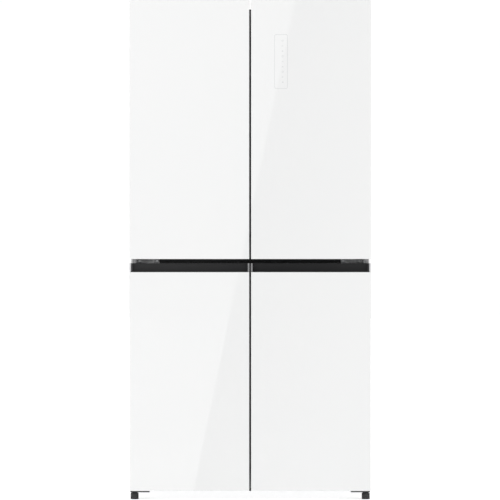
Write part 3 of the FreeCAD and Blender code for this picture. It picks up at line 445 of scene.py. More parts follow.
def place_corners(piece, spots):
    """Puts the corners of a piece in edit mode at the given spots, in their order."""
    form = bmesh.from_edit_mesh(piece.data)
    form.verts.ensure_lookup_table()
    for corner, spot in zip(form.verts, spots):
        corner.co = spot
    bmesh.update_edit_mesh(piece.data)


def extruded(name, section, ends, axis="x"):
    """A closed section of the two other axes, drawn out along an axis."""
    along = "xyz".index(axis)
    piece = begin(name, "circle", vertices=len(section), fill_type="NGON")
    spots = [list(point) for point in section]
    for spot in spots:
        spot.insert(along, ends[0])
    place_corners(piece, spots)
    shift = [0, 0, 0]
    shift[along] = ends[1] - ends[0]
    select_whole()
    bpy.ops.mesh.extrude_region_move(TRANSFORM_OT_translate={"value": shift})
    return close_up(piece)


def tube(name, points, radius):
    """A round tube along a smooth line through given points."""
    line = bpy.data.curves.new(name, "CURVE")
    line.dimensions = "3D"
    line.bevel_depth = radius
    line.bevel_resolution = 3
    line.use_fill_caps = True
    spline = line.splines.new("NURBS")
    spline.points.add(len(points) - 1)
    for point, spot in zip(spline.points, points):
        point.co = (*spot, 1)
    spline.order_u = 3
    spline.use_endpoint_u = True
    spline.resolution_u = 6
    piece = bpy.data.objects.new(name, line)
    bpy.context.scene.collection.objects.link(piece)
    only(piece)
    bpy.ops.object.convert(target="MESH")
    bpy.ops.object.mode_set(mode="EDIT")
    return close_up(bpy.context.object)


def only(piece):
    """Makes a piece the one selected and active object."""
    leave_edit_mode()
    bpy.ops.object.select_all(action="DESELECT")
    piece.select_set(True)
    bpy.context.view_layer.objects.active = piece


def copies(piece, shifts):
    """The piece and copies of it, each with its own mesh, moved by the shifts."""
    made = [piece]
    for shift in shifts:
        only(piece)
        bpy.ops.object.duplicate(linked=False)
        bpy.ops.transform.translate(value=shift)
        apply_place()
        made.append(bpy.context.object)
    return made


def joined(name, pieces):
    """Several finished shapes as one piece."""
    only(pieces[0])
    for piece in pieces:
        piece.select_set(True)
    bpy.ops.object.join()
    whole = bpy.context.object
    whole.name = name
    whole.data.name = name
    return whole


def softened_copy(node, name, test, width, segments=3):
    """A CAD node's mesh, merged and with the chosen edges rounded."""
    only(cad_nodes[node])
    bpy.ops.object.duplicate(linked=False)
    piece = bpy.context.object
    piece.parent = None
    piece.name = name
    piece.data.name = name
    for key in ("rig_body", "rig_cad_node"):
        del piece[key]
    bpy.ops.mesh.customdata_custom_splitnormals_clear()
    bpy.ops.object.mode_set(mode="EDIT")
    select_whole()
    bpy.ops.mesh.remove_doubles(threshold=MERGE)
    select_whole()
    bpy.ops.mesh.dissolve_limited(angle_limit=math.radians(0.5))
    pick(piece, "EDGE", test)
    round_off(width, segments)
    bpy.ops.object.mode_set(mode="OBJECT")
    return piece


def modify(piece, kind, **values):
    """Adds a modifier to a piece and applies it."""
    only(piece)
    change = piece.modifiers.new(kind, kind)
    for key, value in values.items():
        setattr(change, key, value)
    bpy.ops.object.modifier_apply(modifier=change.name)


def millimetres(*points):
    return [tuple(value * MM for value in point) for point in points]


def placed(origin, *pairs):
    """A section's points: an origin in metres and steps from it in millimetres."""
    return [(origin[0] + one * MM, origin[1] + other * MM) for one, other in pairs]


SMOOTH_BELOW = math.radians(35)


def settle(piece, finish, body="cabinet", stands_for=()):
    """Gives a finished piece its surface, its body and the node it stands for."""
    only(piece)
    apply_place()
    bpy.ops.object.shade_smooth_by_angle(angle=SMOOTH_BELOW)
    modify(piece, "WEIGHTED_NORMAL", keep_sharp=True, weight=80)
    coat(piece, finish)
    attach(piece, body)
    if stands_for:
        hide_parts(*stands_for)
    return piece


def middle_of(low, high):
    return (low + high) / 2


def from_middle(low, high):
    """How near to the object's middle plane a node's two sides are, nearest first."""
    return sorted((abs(low.x), abs(high.x)))


finish_cad_nodes()


# -------- seals

def door_seals():
    """Magnetic seals: a snap-in foot, two bellows folds and the magnet pocket."""
    fold = millimetres((-1, 0), (-1, 1.2), (0, 2), (-1.8, 3.2), (0, 4.4), (-1, 5.4), (0, 6.2),
                       (0, 9), (-0.6, 9.7), (-14.4, 9.7), (-15, 9), (-15, 6.2), (-13.8, 5.2),
                       (-15, 4.2), (-13.4, 3), (-14, 0), (-1, 0))
    for _, _, door in DOORS:
        node = f"gasket_{door}"
        low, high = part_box(node)
        half = ((high.x - low.x) / 2, (high.z - low.z) / 2)
        centre = middle_of(low, high)
        centre.y = low.y
        seal = frame_ring(f"seal_{door}", half, 2 * MM, fold, "y", centre)
        settle(seal, "gasket_rubber", f"door_{door}", stands_for=(node,))


door_seals()


# -------- trims between the doors

def gap_shade_strips():
    """Charcoal strip on each door's inner edge, with a soft fin that narrows the gap, and a narrow
    dark border
    on the glass beside it: both are dark as painted shade in the gap between the doors."""
    shade_border_width, shade_border_depth = 0.6 * MM, 0.03 * MM
    for _, sign, door in DOORS:
        low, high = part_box(f"slab_{door}")
        inner, _ = from_middle(low, high)
        section = placed((inner, low.y), (0, 0.3), (-0.45, 0.3), (-0.45, 10.3), (-2.15, 10.3),
                         (-2.45, 10.7), (-2.15, 11.1), (-0.45, 11.7), (-0.45, 17), (0, 17))
        top = min(high.z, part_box("outer_case")[1].z)
        # strip shape of the door edge, coloured charcoal as painted shade of the gap
        strip = extruded("strip", [(x * sign, y) for x, y in section], (low.z, top), "z")
        glass_low, glass_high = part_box(f"glass_{door}")
        edge, _ = from_middle(glass_low, glass_high)
        # dark border on the glass edge: painted shade of the gap
        shade_border = block("shade_border", (edge * sign, glass_low.y - shade_border_depth, glass_low.z),
                       ((edge + shade_border_width) * sign, glass_low.y + shade_border_depth,
                        min(glass_high.z, top)))
        settle(joined(f"gap_shade_strip_{door}", [strip, shade_border]), "charcoal_plastic",
               f"door_{door}")


def long_trims():
    """Moulding on the crossbar between the middle hinges, folded strip under the case between the
    bottom hinges, and wiring channel on the case top between the top hinges; moulding and channel
    are charcoal as painted shade."""
    frame_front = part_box("front_frame")[0].y
    hinge_low, hinge_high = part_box("middle_hinges")
    case_low, case_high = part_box("outer_case")
    crossbar = placed((frame_front, middle_of(hinge_low.z, hinge_high.z)), (0, -12),
                      (-1.2, -12), (-2.4, -10.5), (-2.4, -2), (-1.6, -1), (-1.6, 1),
                      (-2.4, 2), (-2.4, 10.5), (-1.2, 12), (0, 12))
    kick = placed((frame_front, 0), (1, 38), (1, 30), (2.5, 28.5), (14, 28.5), (14, 29.5),
                  (3, 29.5), (2, 30.5), (2, 38))
    channel = placed((case_low.y, case_high.z), (0.5, 0), (0.5, 2.9), (2, 4.4), (32, 4.4),
                     (44, 1.5), (46, 0))
    for name, section, reach, finish in (
            # charcoal moulding and wiring channel: real shapes, their dark colour is painted shade
            # of the gaps
            ("crossbar_shade_trim", crossbar, hinge_high.x - 99 * MM, "charcoal_plastic"),
            ("kick_strip", kick, 364 * MM, "dark_metal"),
            ("harness_shade_cover", channel, 362 * MM, "charcoal_plastic")):
        settle(extruded(name, section, (-reach, reach)), finish)


def grip_ends():
    """Cheeks beside the gap, and the plugs that close the ends of the grip profile."""
    for side, sign in SIDES:
        low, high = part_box(f"grip_lower_{side}")
        inner, outer = from_middle(low, high)
        body = f"door_lower_{side}"
        glass_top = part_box(f"glass_lower_{side}")[1].z
        cheek = rounded_block(f"grip_cheek_{side}",
                              ((inner - 3.3 * MM) * sign, low.y - 0.5 * MM, glass_top - 8 * MM),
                              ((inner - 1.2 * MM) * sign, low.y + 6 * MM, high.z), 0.4 * MM, 2)
        settle(cheek, "grip_end_grey", body)
        for name, near, far, depth in (
                ("inner", inner + 0.2 * MM, inner + 1.8 * MM, 0.3 * MM),
                ("outer", outer - 5.5 * MM, outer - 0.2 * MM, 0.5 * MM)):
            plug = block(f"grip_plug_{name}_{side}",
                         (near * sign, low.y + 2.2 * MM, low.z + 2.2 * MM),
                         (far * sign, high.y - 2.2 * MM, high.z - 1 * MM))
            pick(plug, "FACE", lambda middle, normal: abs(normal.x) > 0.9)
            sink(2 * MM, depth)
            pick(plug, "EDGE", lambda middle, way: abs(way.y) > 0.9 and middle.z > high.z - 2 * MM)
            round_off(1 * MM)
            settle(plug, "black_plastic", body)


gap_shade_strips()
long_trims()
grip_ends()


# -------- door fronts

def touch_print():
    """Outline of the touch field and its plain marks, printed on the glass face."""
    low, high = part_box("touch_control")
    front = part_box("glass_upper_right")[0].y
    skin = 0.03 * MM
    line = 0.6 * MM
    body = "door_upper_right"
    centre = middle_of(low, high)
    centre.y = front + skin
    half = ((high.x - low.x) / 2, (high.z - low.z) / 2)

    def flat_ring(outer, width):
        return [(outer, 0), (outer, -skin * 2), (outer - width, -skin * 2),
                (outer - width, 0), (outer, 0)]

    outline = frame_ring("touch_outline", half, 6 * MM, flat_ring(0, 0.9 * MM), "y", centre, 6)
    settle(outline, "printed_grey", body)

    marks = []
    spot_x = centre.x + 6 * MM

    def bar(z, width, height):
        marks.append(rounded_block("mark", (spot_x - width / 2, front - skin, z - height / 2),
                                   (spot_x + width / 2, front + skin, z + height / 2),
                                   0.02 * MM, 1))

    def ring_mark(z, radius, width=line):
        marks.append(turned("mark", flat_ring(radius, width), "y",
                            (spot_x, front + skin, z), 24))

    mark_count, mark_pitch = 9, 19 * MM
    for i in range(mark_count):
        z = centre.z + (mark_count - 1) / 2 * mark_pitch - mark_pitch * i
        if i % 3 == 0:
            ring_mark(z, 3.4 * MM)
            bar(z + 1.2 * MM, line, 2.4 * MM)
        elif i % 3 == 1:
            bar(z, 6 * MM, line)
            bar(z + 2 * MM, 4 * MM, line)
            bar(z - 2 * MM, 4 * MM, line)
        else:
            ring_mark(z, 2.6 * MM)
            ring_mark(z, 1.0 * MM, 0.5 * MM)
    settle(joined("touch_marks", marks), "printed_grey", body)


def door_end_caps():
    """Seam lines and cap sides where the moulded end caps meet the door frame."""
    height, skin = 26 * MM, 0.4 * MM
    for row, sign, door in DOORS:
        low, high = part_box(f"slab_{door}")
        _, outer = from_middle(low, high)
        upper_cap = (high.z - height, high.z)
        if row == "upper":
            upper_cap = (high.z - height - 34 * MM, high.z - 36.5 * MM)
        caps = []
        for bottom, top in ((low.z, low.z + height), upper_cap):
            cap = block("cap", ((outer - 2 * MM) * sign, low.y + 0.5 * MM, bottom),
                        ((outer + skin) * sign, high.y, top))
            pick(cap, "EDGE", lambda middle, way: abs(middle.x) > outer)
            round_off(0.3 * MM, 2)
            caps.append(cap)
        settle(joined(f"door_end_caps_{door}", caps), "door_casing", f"door_{door}")


touch_print()
door_end_caps()


# -------- feet, rollers, hinges

def feet():
    """Levelling feet: ribbed hand wheel, waist and threaded stem."""
    rib_count = 24
    for side, _ in SIDES:
        node = f"foot_{side}"
        low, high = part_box(node)
        radius = (high.x - low.x) / 2
        rim = radius / MM
        centre = middle_of(low, high)
        centre.z = 0
        steps = millimetres(
            (rim - 1.2, 0), (rim - 0.2, 0.5), (rim - 0.2, 3.6), (rim - 0.9, 4.4),
            (rim - 0.9, 21.6), (rim - 2, 23.6), (rim - 6, 24.8), (5.6, 25.4), (5.2, 26.2),
            (5.2, 27.5), (3.9, 27.7), (3.6, 28.5), (3.9, 29.3), (3.6, 30.1), (3.9, 30.9),
            (3.3, 31.7))
        parts = [turned("wheel", steps, "z", centre, 48)]
        for i in range(rib_count):
            rib = rounded_block("rib", (radius - 2.2 * MM, -0.9 * MM, 4.6 * MM),
                                (radius - 0.15 * MM, 0.9 * MM, 22 * MM), 0.5 * MM, 2)
            rib.rotation_euler = (0, 0, 2 * math.pi * i / rib_count)
            rib.location = centre
            parts.append(rib)
        settle(joined(f"{node}_wheel", parts), "black_plastic", node, stands_for=(node,))


def rollers():
    """Rear rollers: grooved tread, sunk web and bushing."""
    for side, _ in SIDES:
        node = f"roller_{side}"
        low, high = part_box(node)
        rim = (high.z - low.z) / 2 / MM
        half = (high.x - low.x) / 2 / MM
        steps = millimetres(
            (3.1, -half), (5.6, -half), (5.6, 2.5 - half), (rim - 3.5, 2.5 - half),
            (rim - 3, -half), (rim - 0.8, -half), (rim, 0.8 - half), (rim, -1.2),
            (rim - 0.7, 0), (rim, 1.2), (rim, half - 0.8), (rim - 0.8, half), (rim - 3, half),
            (rim - 3.5, half - 2.5), (5.6, half - 2.5), (5.6, half), (3.1, half), (3.1, -half))
        wheel = turned(f"{node}_wheel", steps, "x", middle_of(low, high), 40)
        settle(wheel, "black_plastic", node, stands_for=(node,))


def hex_screw(centre, radius, length):
    """Hexagon head with a dished top over a pressed flange, facing up."""
    head = begin("screw", "circle", vertices=6, radius=radius)
    outline = [(0, length * 0.3), (0, length * 0.85), (-radius * 0.12, length),
               (-radius * 0.5, length), (-radius * 0.6, length * 0.8)]
    head = stand(raise_outline(head, (radius, radius), outline), "z", centre)
    flange = turned("screw", [(radius * 1.15, 0), (radius * 1.15, length * 0.15),
                              (radius * 0.95, length * 0.35)], "z", centre, 24)
    return [head, flange]


def screws():
    """Screw heads of the top hinges, facing up, and of the middle hinges, facing forwards."""
    screw_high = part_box("hinge_screws")[1]
    case_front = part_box("outer_case")[0].y
    plate_low, plate_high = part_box("middle_hinges")
    middle = middle_of(plate_low.z, plate_high.z)
    length = 4 * MM
    made = []
    for _, sign in SIDES:
        for inward, back in ((6, 39), (36, 61), (6, 83)):
            made += hex_screw(((screw_high.x - inward * MM) * sign, case_front + back * MM,
                               screw_high.z - length), 6 * MM, length)
    for _, sign in SIDES:
        for inward, raised, radius in ((91, 0, 5), (17, 5.1, 3)):
            parts = hex_screw((0, 0, 0), radius * MM, length)
            for part in parts:
                part.rotation_euler = (math.pi / 2, 0, 0)
                part.location = ((plate_high.x - inward * MM) * sign, case_front - 3 * MM,
                                 middle + raised * MM)
            made += parts
    settle(joined("hinge_screw_heads", made), "zinc_steel",
           stands_for=("hinge_screws",))


def top_hinge_caps():
    """Rounded caps over the top hinges, each with a seam and a sunk top."""
    low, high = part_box("top_hinge_covers")
    half = (34.35 * MM, (high.y - low.y) / 2)
    rise = (high.z - low.z) / MM
    steps = millimetres((-2.2, 0.4), (-1.8, 0), (0, 0), (0, 2), (-0.5, 2.2), (-0.5, 2.8), (0, 3),
                        (-0.2, rise - 5), (-0.9, rise - 2.6), (-2.4, rise - 0.9),
                        (-4.5, rise - 0.2), (-7, rise), (-16, rise), (-17, rise - 0.8))
    for side, sign in SIDES:
        centre = ((high.x - half[0]) * sign, middle_of(low.y, high.y), low.z)
        cap = frame_ring(f"top_hinge_cap_{side}", half, 7 * MM, steps, "z", centre, 6)
        settle(cap, "charcoal_plastic", stands_for=("top_hinge_covers",))


HINGE_AXIS = (0.4215, -0.315)


def hinge_washers():
    """Dark washers at the four middle hinge knuckles."""
    low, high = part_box("middle_hinges")
    rings = []
    for _, sign in SIDES:
        for up in (-1, 1):
            steps = [(radius * MM, height * up * MM) for radius, height in
                     ((5.1, 0), (7.6, 0), (8, 0.3), (8, 1), (7.6, 1.3), (6.4, 1.3),
                      (6.4, 2.6), (5.1, 2.6), (5.1, 0))]
            rings.append(turned("washer", steps, "z",
                                (HINGE_AXIS[0] * sign, HINGE_AXIS[1],
                                 middle_of(low.z, high.z) + up * 2 * MM)))
    settle(joined("hinge_washers", rings), "black_plastic")


def hinge_pads():
    """Dark wear pads under the plates that carry the lower doors."""
    low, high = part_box("bottom_hinges")
    for side, sign in SIDES:
        pad = rounded_block(f"hinge_pad_{side}",
                            (369.5 * MM * sign, low.y + 0.4 * MM, low.z - 1.3 * MM),
                            ((high.x - 1 * MM) * sign, low.y + 26 * MM, low.z), 0.3 * MM, 2)
        settle(pad, "black_plastic")


feet()
rollers()
hinge_pads()
screws()
top_hinge_caps()
hinge_washers()


# -------- outer case, inside of the doors

def case_skin():
    """Outer case with its two long top folds rounded."""
    node = "outer_case"
    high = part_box(node)[1]

    def on_fold(middle, way):
        return (abs(way.y) > 0.9 and middle.z > high.z - 1 * MM
                and abs(middle.x) > high.x - 1 * MM)

    skin = softened_copy(node, "case_skin", on_fold, 2.4 * MM, 4)
    settle(skin, SLOT_OF[node], stands_for=(node,))


def glass_plates():
    """Front glass with its ground arris all round."""
    for _, _, door in DOORS:
        node = f"glass_{door}"
        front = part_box(node)[0].y
        plate = softened_copy(node, f"front_glass_{door}",
                              lambda middle, way: middle.y < front + 0.1 * MM, 0.7 * MM, 2)
        settle(plate, "white_glass", f"door_{door}", stands_for=(node,))


def door_liners():
    """Formed liners with rounded frames; each lower one has a pressed field."""
    frame_inner = 44.5 * MM
    for row, sign, door in DOORS:
        node = f"liner_{door}"
        low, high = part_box(node)
        sheet = low.y + 2 * MM

        def on_frame(middle, way):
            if abs(middle.x) < frame_inner:
                return False
            return middle.y > high.y - 0.3 * MM or (
                abs(way.y) > 0.9 and middle.y > sheet + 1 * MM)

        width = (6 if row == "upper" else 4) * MM
        liner = softened_copy(node, f"formed_liner_{door}", on_frame, width, 4)
        settle(liner, "white_plastic", f"door_{door}", stands_for=(node,))
        if row == "lower":
            side = door.split("_")[1]
            field = rounded_block(f"liner_field_{side}",
                                  (82 * MM * sign, sheet - 0.2 * MM, 145 * MM),
                                  (338 * MM * sign, sheet + 1.6 * MM, 795 * MM), 0.8 * MM)
            pick(field, "FACE", lambda middle, normal: normal.y > 0.9)
            sink(16 * MM, 1.2 * MM)
            settle(field, "white_plastic", f"door_{door}")


def door_bins():
    """Three bins a door: clear tub, white rail round the rim, rests below."""
    height = 105
    brim = height - 20
    tub_steps = millimetres((-9, 0), (-5, 0.6), (-3, 3.4), (-1.6, 12), (-0.6, brim),
                            (-2.8, brim), (-3.8, 12), (-5.4, 5), (-9, 3), (-14, 2.6))
    rail_steps = millimetres((0, brim - 2), (0, brim + 16), (-0.7, brim + 19),
                             (-1.6, brim + 20), (-2.4, brim + 19), (-3, brim + 16),
                             (-3, brim + 2), (-3.2, brim - 1), (-1, brim - 2), (0, brim - 2))
    for side, sign in SIDES:
        node = f"bins_upper_{side}"
        body = f"door_upper_{side}"
        low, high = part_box(node)
        pitch = (high.z - low.z - height * MM) / 2
        lifts = [(0, 0, pitch), (0, 0, pitch * 2)]
        half = ((high.x - low.x) / 2, (high.y - low.y) / 2)
        centre = middle_of(low, high)
        centre.z = low.z
        tub = frame_ring("tub", half, 14 * MM, tub_steps, "z", centre, 5)
        settle(joined(f"bin_tubs_{side}", copies(tub, lifts)), "clear_plastic", body,
               stands_for=(node,))
        ring = frame_ring("rail", half, 14 * MM, rail_steps, "z", centre, 5)
        settle(joined(f"bin_rails_{side}", copies(ring, lifts)), "white_plastic", body)
        rests = []
        inner, outer = from_middle(low, high)
        for near, far in ((inner - 0.3 * MM, inner + 7 * MM), (outer - 7 * MM, outer + 0.3 * MM)):
            rest = rounded_block("rest", (near * sign, low.y + 6 * MM, low.z - 9 * MM),
                                 (far * sign, high.y - 16 * MM, low.z - 0.4 * MM), 2 * MM)
            rests += copies(rest, lifts)
        settle(joined(f"bin_rests_{side}", rests), "white_plastic", body)


def mullion_plate():
    """Painted steel face of the folding bar, with its two end caps."""
    low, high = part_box("flip_mullion")
    top = high.z - 14 * MM
    face = high.x + 0.35 * MM
    plate = rounded_block("mullion_plate", (high.x - 0.2 * MM, low.y + 7 * MM, low.z + 10 * MM),
                          (face, high.y - 7 * MM, top - 10 * MM), 0.25 * MM, 2)
    settle(plate, "white_paint", "flip_mullion")
    caps = [rounded_block("cap", (low.x + 2 * MM, low.y + 5 * MM, start),
                          (face, high.y - 5 * MM, start + 9 * MM), 0.3 * MM, 2)
            for start in (low.z, top - 9 * MM)]
    settle(joined("mullion_caps", caps), "charcoal_plastic", "flip_mullion")


case_skin()
glass_plates()
door_liners()
door_bins()
mullion_plate()


# -------- inside of the cabinet

def drawer(node, lift):
    """Clear tub with a rolled rim, a framed front and a white grip bar."""
    low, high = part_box(node)
    front = low.y + 12 * MM
    face = 4.4 * MM
    half = ((high.x - low.x) / 2, (high.y - front - face) / 2)
    centre = ((low.x + high.x) / 2, (front + face + high.y) / 2, low.z)
    rise = (high.z - low.z) / MM - lift
    steps = millimetres((-12, 0), (-8, 1), (-6, 5), (-2.6, rise - 11), (-0.3, rise - 10),
                        (0, rise - 9), (0, rise - 1), (-0.8, rise), (-4, rise),
                        (-4.8, rise - 1), (-5, rise - 10), (-8.4, 6), (-10.6, 3.4), (-15, 2.6))
    settle(frame_ring(f"{node}_tub", half, 16 * MM, steps, "z", centre, 5),
           "clear_plastic", node, stands_for=(node,))
    panel = rounded_block(f"{node}_front", (low.x, front, low.z), (high.x, front + face, high.z),
                          1.4 * MM)
    pick(panel, "FACE", lambda middle, normal: normal.y < -0.9)
    sink(9 * MM, 1.2 * MM)
    settle(panel, "clear_plastic", node)
    profile = placed((front, high.z - 32 * MM), (1.4, 0), (-8, 0), (-11, -1), (-12, -4),
                     (-12, -12), (-11, -13), (-10, -12), (-9.6, -5), (-8, -4), (1.4, -4))
    grip = extruded(f"{node}_grip", profile, (low.x + 60 * MM, high.x - 60 * MM))
    settle(grip, "white_plastic", node)


def shelf_edges():
    """Grooved front and raised rear trims of the glass shelves, with bright strips."""
    low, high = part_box("shelf_trims")
    height = 15 * MM
    pitch = (high.z - low.z - height) / 2
    lifts = [(0, 0, pitch), (0, 0, pitch * 2)]
    nose = ((14, 0), (3, 0), (0.9, 0.9), (0, 3), (0, 12), (0.9, 14.1), (3, 15), (12, 15),
            (14, 13.6))
    heel = ((0, 0), (14, 0), (14, 14), (13, 15), (10.5, 15), (9.5, 14), (8.5, 12.4), (0, 12))
    pieces = []
    for start, section in ((low.y, nose), (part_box("shelf_glasses")[1].y, heel)):
        trim = extruded("trim", placed((start, low.z), *section), (low.x, high.x))
        pieces += copies(trim, lifts)
    settle(joined("shelf_edge_trims", pieces), "white_plastic",
           stands_for=("shelf_trims",))
    strip = placed((low.y, low.z), (0.4, 3.6), (-0.3, 4), (-0.3, 11), (0.4, 11.4))
    bright = copies(extruded("strip", strip, (low.x + 8 * MM, high.x - 8 * MM)), lifts)
    settle(joined("shelf_bright_strips", bright), "aluminium_fins")


def air_column():
    """Duct cover up the back of the cavity, with a bright strip between its vents."""
    node = "fridge_duct_panel"
    low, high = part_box(node)
    column = softened_copy(node, "air_column", lambda middle, way: abs(way.z) > 0.9
                           and middle.y < low.y + 0.1 * MM and abs(middle.x) > 90 * MM, 1.6 * MM)
    settle(column, "white_plastic", stands_for=(node,))
    strip = rounded_block("air_column_strip", (-26 * MM, low.y - 0.9 * MM, low.z + 18 * MM),
                          (26 * MM, low.y + 0.2 * MM, high.z - 18 * MM), 0.4 * MM, 2)
    settle(strip, "aluminium_fins")


def ceiling_lamp():
    """Lens and bezel of the lamp in the ceiling of the upper cavity."""
    centre = (0, -70 * MM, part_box("mullion_guide")[1].z)
    half = (115 * MM, 27 * MM)
    lens = frame_ring("lamp_lens", half, 10 * MM,
                      millimetres((0, 0.5), (0, -2.6), (-1.6, -4.6), (-5, -5.2)), "z", centre)
    settle(lens, "lamp_lens")
    bezel = frame_ring("lamp_bezel", half, 10 * MM,
                       millimetres((5, 0.3), (5, -2), (4, -3), (1.2, -3), (0.3, -2.2),
                                   (0.3, 0.3), (5, 0.3)), "z", centre)
    settle(bezel, "white_plastic")


def fan_wheel(node, axis, centre, radius, count, chord, pitch):
    """Axial fan: domed hub with twisted, swelling blades."""
    low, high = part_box(node)
    hub, root = 16 * MM, 14 * MM
    length = radius - root
    blade = begin("blade", "grid", x_subdivisions=9, y_subdivisions=5, size=1)
    bpy.ops.transform.resize(value=(length, chord, 1))
    modify(blade, "SIMPLE_DEFORM", deform_method="TAPER", deform_axis="X", factor=0.45)
    modify(blade, "SIMPLE_DEFORM", deform_method="TWIST", deform_axis="X",
           angle=math.radians(-16))
    modify(blade, "SOLIDIFY", thickness=1.5 * MM, offset=0)
    modify(blade, "SUBSURF", levels=1)
    blade.rotation_euler = (math.radians(pitch), 0, 0)
    blade.location = (root + length / 2, 0, 0)
    apply_place()
    parts = copies(blade, [(0, 0, 0)] * (count - 1))
    for i, part in enumerate(parts):
        part.rotation_euler = (0, 0, 2 * math.pi * i / count)
        only(part)
        apply_place()
    half = (high - low)["xyz".index(axis)] / 2 / MM
    rim = hub / MM
    parts.append(turned("hub", millimetres(
        (rim - 3, -half), (rim - 3, 3 - half), (rim, 3 - half), (rim, half - 4),
        (rim - 1, half - 2), (rim - 4, half - 0.6), (rim - 9, half), (4, half))))
    wheel = stand(joined(f"{node}_wheel", parts), axis, centre)
    settle(wheel, SLOT_OF[node], node, stands_for=(node,))


def fan_guard():
    """Rings and spokes across the opening in front of the evaporator fan."""
    centre = Vector(EVAPORATOR_FAN)
    centre.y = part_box("freezer_duct_panels")[0].y + 1 * MM
    parts = []
    for radius in (12, 22, 32, 42):
        parts.append(turned("ring", millimetres((radius, 0), (radius, 1.6), (radius + 1.4, 1.6),
                                                (radius + 1.4, 0), (radius, 0)),
                            "y", centre, 40))
    spoke_count = 6
    for i in range(spoke_count):
        spoke = rounded_block("spoke", (8 * MM, -0.8 * MM, 0), (46.6 * MM, 0.8 * MM, 2 * MM),
                              0.4 * MM, 2)
        only(spoke)
        spoke.rotation_euler = (0, 0, 2 * math.pi / spoke_count * i)
        apply_place()
        parts.append(stand(spoke, "y", centre))
    settle(joined("evaporator_fan_guard", parts), "white_plastic")


EVAPORATOR_FAN = (-0.21225, 0.240, 0.7575)
CONDENSER_FAN = (-0.049, 0.240, 0.129)
CRISPER_LIFT, DRAWER_LIFT = 14, 16

for side, _ in SIDES:
    drawer(f"crisper_{side}", CRISPER_LIFT)
    for row in ("low", "middle", "high"):
        drawer(f"drawer_{side}_{row}", DRAWER_LIFT)
shelf_edges()
air_column()
ceiling_lamp()
fan_wheel("evaporator_fan", "y", EVAPORATOR_FAN, 44.5 * MM, 7, 24 * MM, 34)
fan_wheel("condenser_fan", "x", CONDENSER_FAN, 70 * MM, 5, 36 * MM, 28)
fan_guard()


# -------- machine room and back

def compressor_set():
    """Compressor: domed shell with its weld, feet, terminals, stub and lines."""
    node = "compressor"
    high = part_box(node)[1]
    shell = turned("shell", millimetres(
        (34, 0), (56, 1.6), (69, 7), (76.5, 16), (79, 27), (79, 77), (81, 78), (82, 79),
        (82, 83), (81, 84), (79, 85), (79, 126), (77.5, 138), (72.5, 150), (62, 161),
        (47, 169), (29, 173.6), (12, 175)), "z", (190 * MM, 240 * MM, 54 * MM), 64)
    base = rounded_block("base", (108 * MM, 207 * MM, 52 * MM), (272 * MM, 273 * MM, 55.5 * MM),
                         1.5 * MM)
    settle(joined("compressor_shell", [shell, base]), "compressor_paint",
           stands_for=(node,))
    mounts, bolts = [], []
    for x in (120 * MM, 260 * MM):
        for y in (216 * MM, 264 * MM):
            mounts.append(turned("mount", millimetres(
                (9, 0), (11, 1.5), (11, 5), (8, 6.5), (8, 10), (11, 11.5), (11, 15.6), (9, 17)),
                "z", (x, y, 40 * MM), 28))
            bolts += hex_screw((x, y, 56.8 * MM), 5 * MM, 4 * MM)
    settle(joined("compressor_mounts", mounts), "black_plastic")
    settle(joined("compressor_bolts", bolts), "zinc_steel")
    cover = rounded_block("terminal_cover", (264 * MM, 211 * MM, 103 * MM),
                          (high.x - 0.4 * MM, 269 * MM, 165 * MM), 4 * MM)
    pick(cover, "FACE", lambda middle, normal: normal.x > 0.9)
    sink(6 * MM, 1.5 * MM)
    settle(cover, "black_plastic")
    runs = {
        "suction_line": (4, (138, 188, 150), (122, 172, 151), (117, 167, 160), (116, 166, 200),
                         (116, 166, 266)),
        "discharge_line": (3, (138, 292, 170), (124, 306, 171), (117, 312, 180),
                           (116, 313, 236), (108, 313, 245), (0, 313, 246), (-84, 306, 246),
                           (-98, 290, 240), (-100, 279, 222), (-100, 279, 196),
                           (-106, 279, 190)),
        "process_stub": (3, (244, 186, 150), (258, 172, 151), (262, 168, 158), (263, 167, 205)),
    }
    for name, (radius, *points) in runs.items():
        settle(tube(name, millimetres(*points), radius * MM), "zinc_steel")


def louvre_hoods():
    """Pressed hoods over the slots of the machine-room cover."""
    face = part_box("machine_room_cover")[1].y
    bottom, top, count, height = 78 * MM, 220 * MM, 9, 7 * MM
    pitch = (top - bottom) / count
    hoods = []
    for middle in (-190 * MM, 190 * MM):
        for i in range(count):
            profile = placed((face, bottom + pitch * i + height / 2), (0, 5.7), (2.6, 4.1),
                             (3.6, 1.5), (3.6, -2.9), (2.8, -2.9), (2.8, 1.5), (2, 3.3),
                             (0, 4.7))
            hoods.append(extruded("hood", profile, (middle - 116 * MM, middle + 116 * MM)))
    settle(joined("louvre_hoods", hoods), SLOT_OF["machine_room_cover"])


def back_screws():
    """Pan-head screws round the back panel and the machine-room cover."""
    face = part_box("machine_room_cover")[1].y
    spots = [(x, z) for x in (-431, 431) for z in (300, 590, 880, 1170, 1460, 1750)]
    spots += [(x, z) for z in (54, 256) for x in (-424, -212, 0, 212, 424)]
    spots += [(x, 1786) for x in (-300, -100, 100, 300)]
    profile = millimetres((4.2, 0), (4.2, 0.7), (3.4, 1.6), (2, 2.1), (1.2, 2.1), (1, 1.2))
    heads = [turned("head", profile, "y", (x * MM, face, z * MM), 20) for x, z in spots]
    settle(joined("back_screws", heads), "zinc_steel")


def gland():
    """Stepped bushing where the supply lead would enter."""
    low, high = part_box("cord_gland")
    centre = middle_of(low, high)
    centre.y = low.y
    bushing = turned("gland_bushing", millimetres(
        (4.5, 18), (4.5, 0), (8, 0), (9, 1.2), (9, 8), (12, 8), (13, 9), (13, 12), (12, 13),
        (9, 13), (8.6, 14), (9, 15), (8.4, 16), (8, 17.2), (7.2, 18), (4.5, 18)),
        "y", centre)
    settle(bushing, "black_plastic", stands_for=("cord_gland",))


compressor_set()
louvre_hoods()
back_screws()
gland()


# -------- room, light and camera

EYE_DISTANCE = 15.25
SENSOR = 36


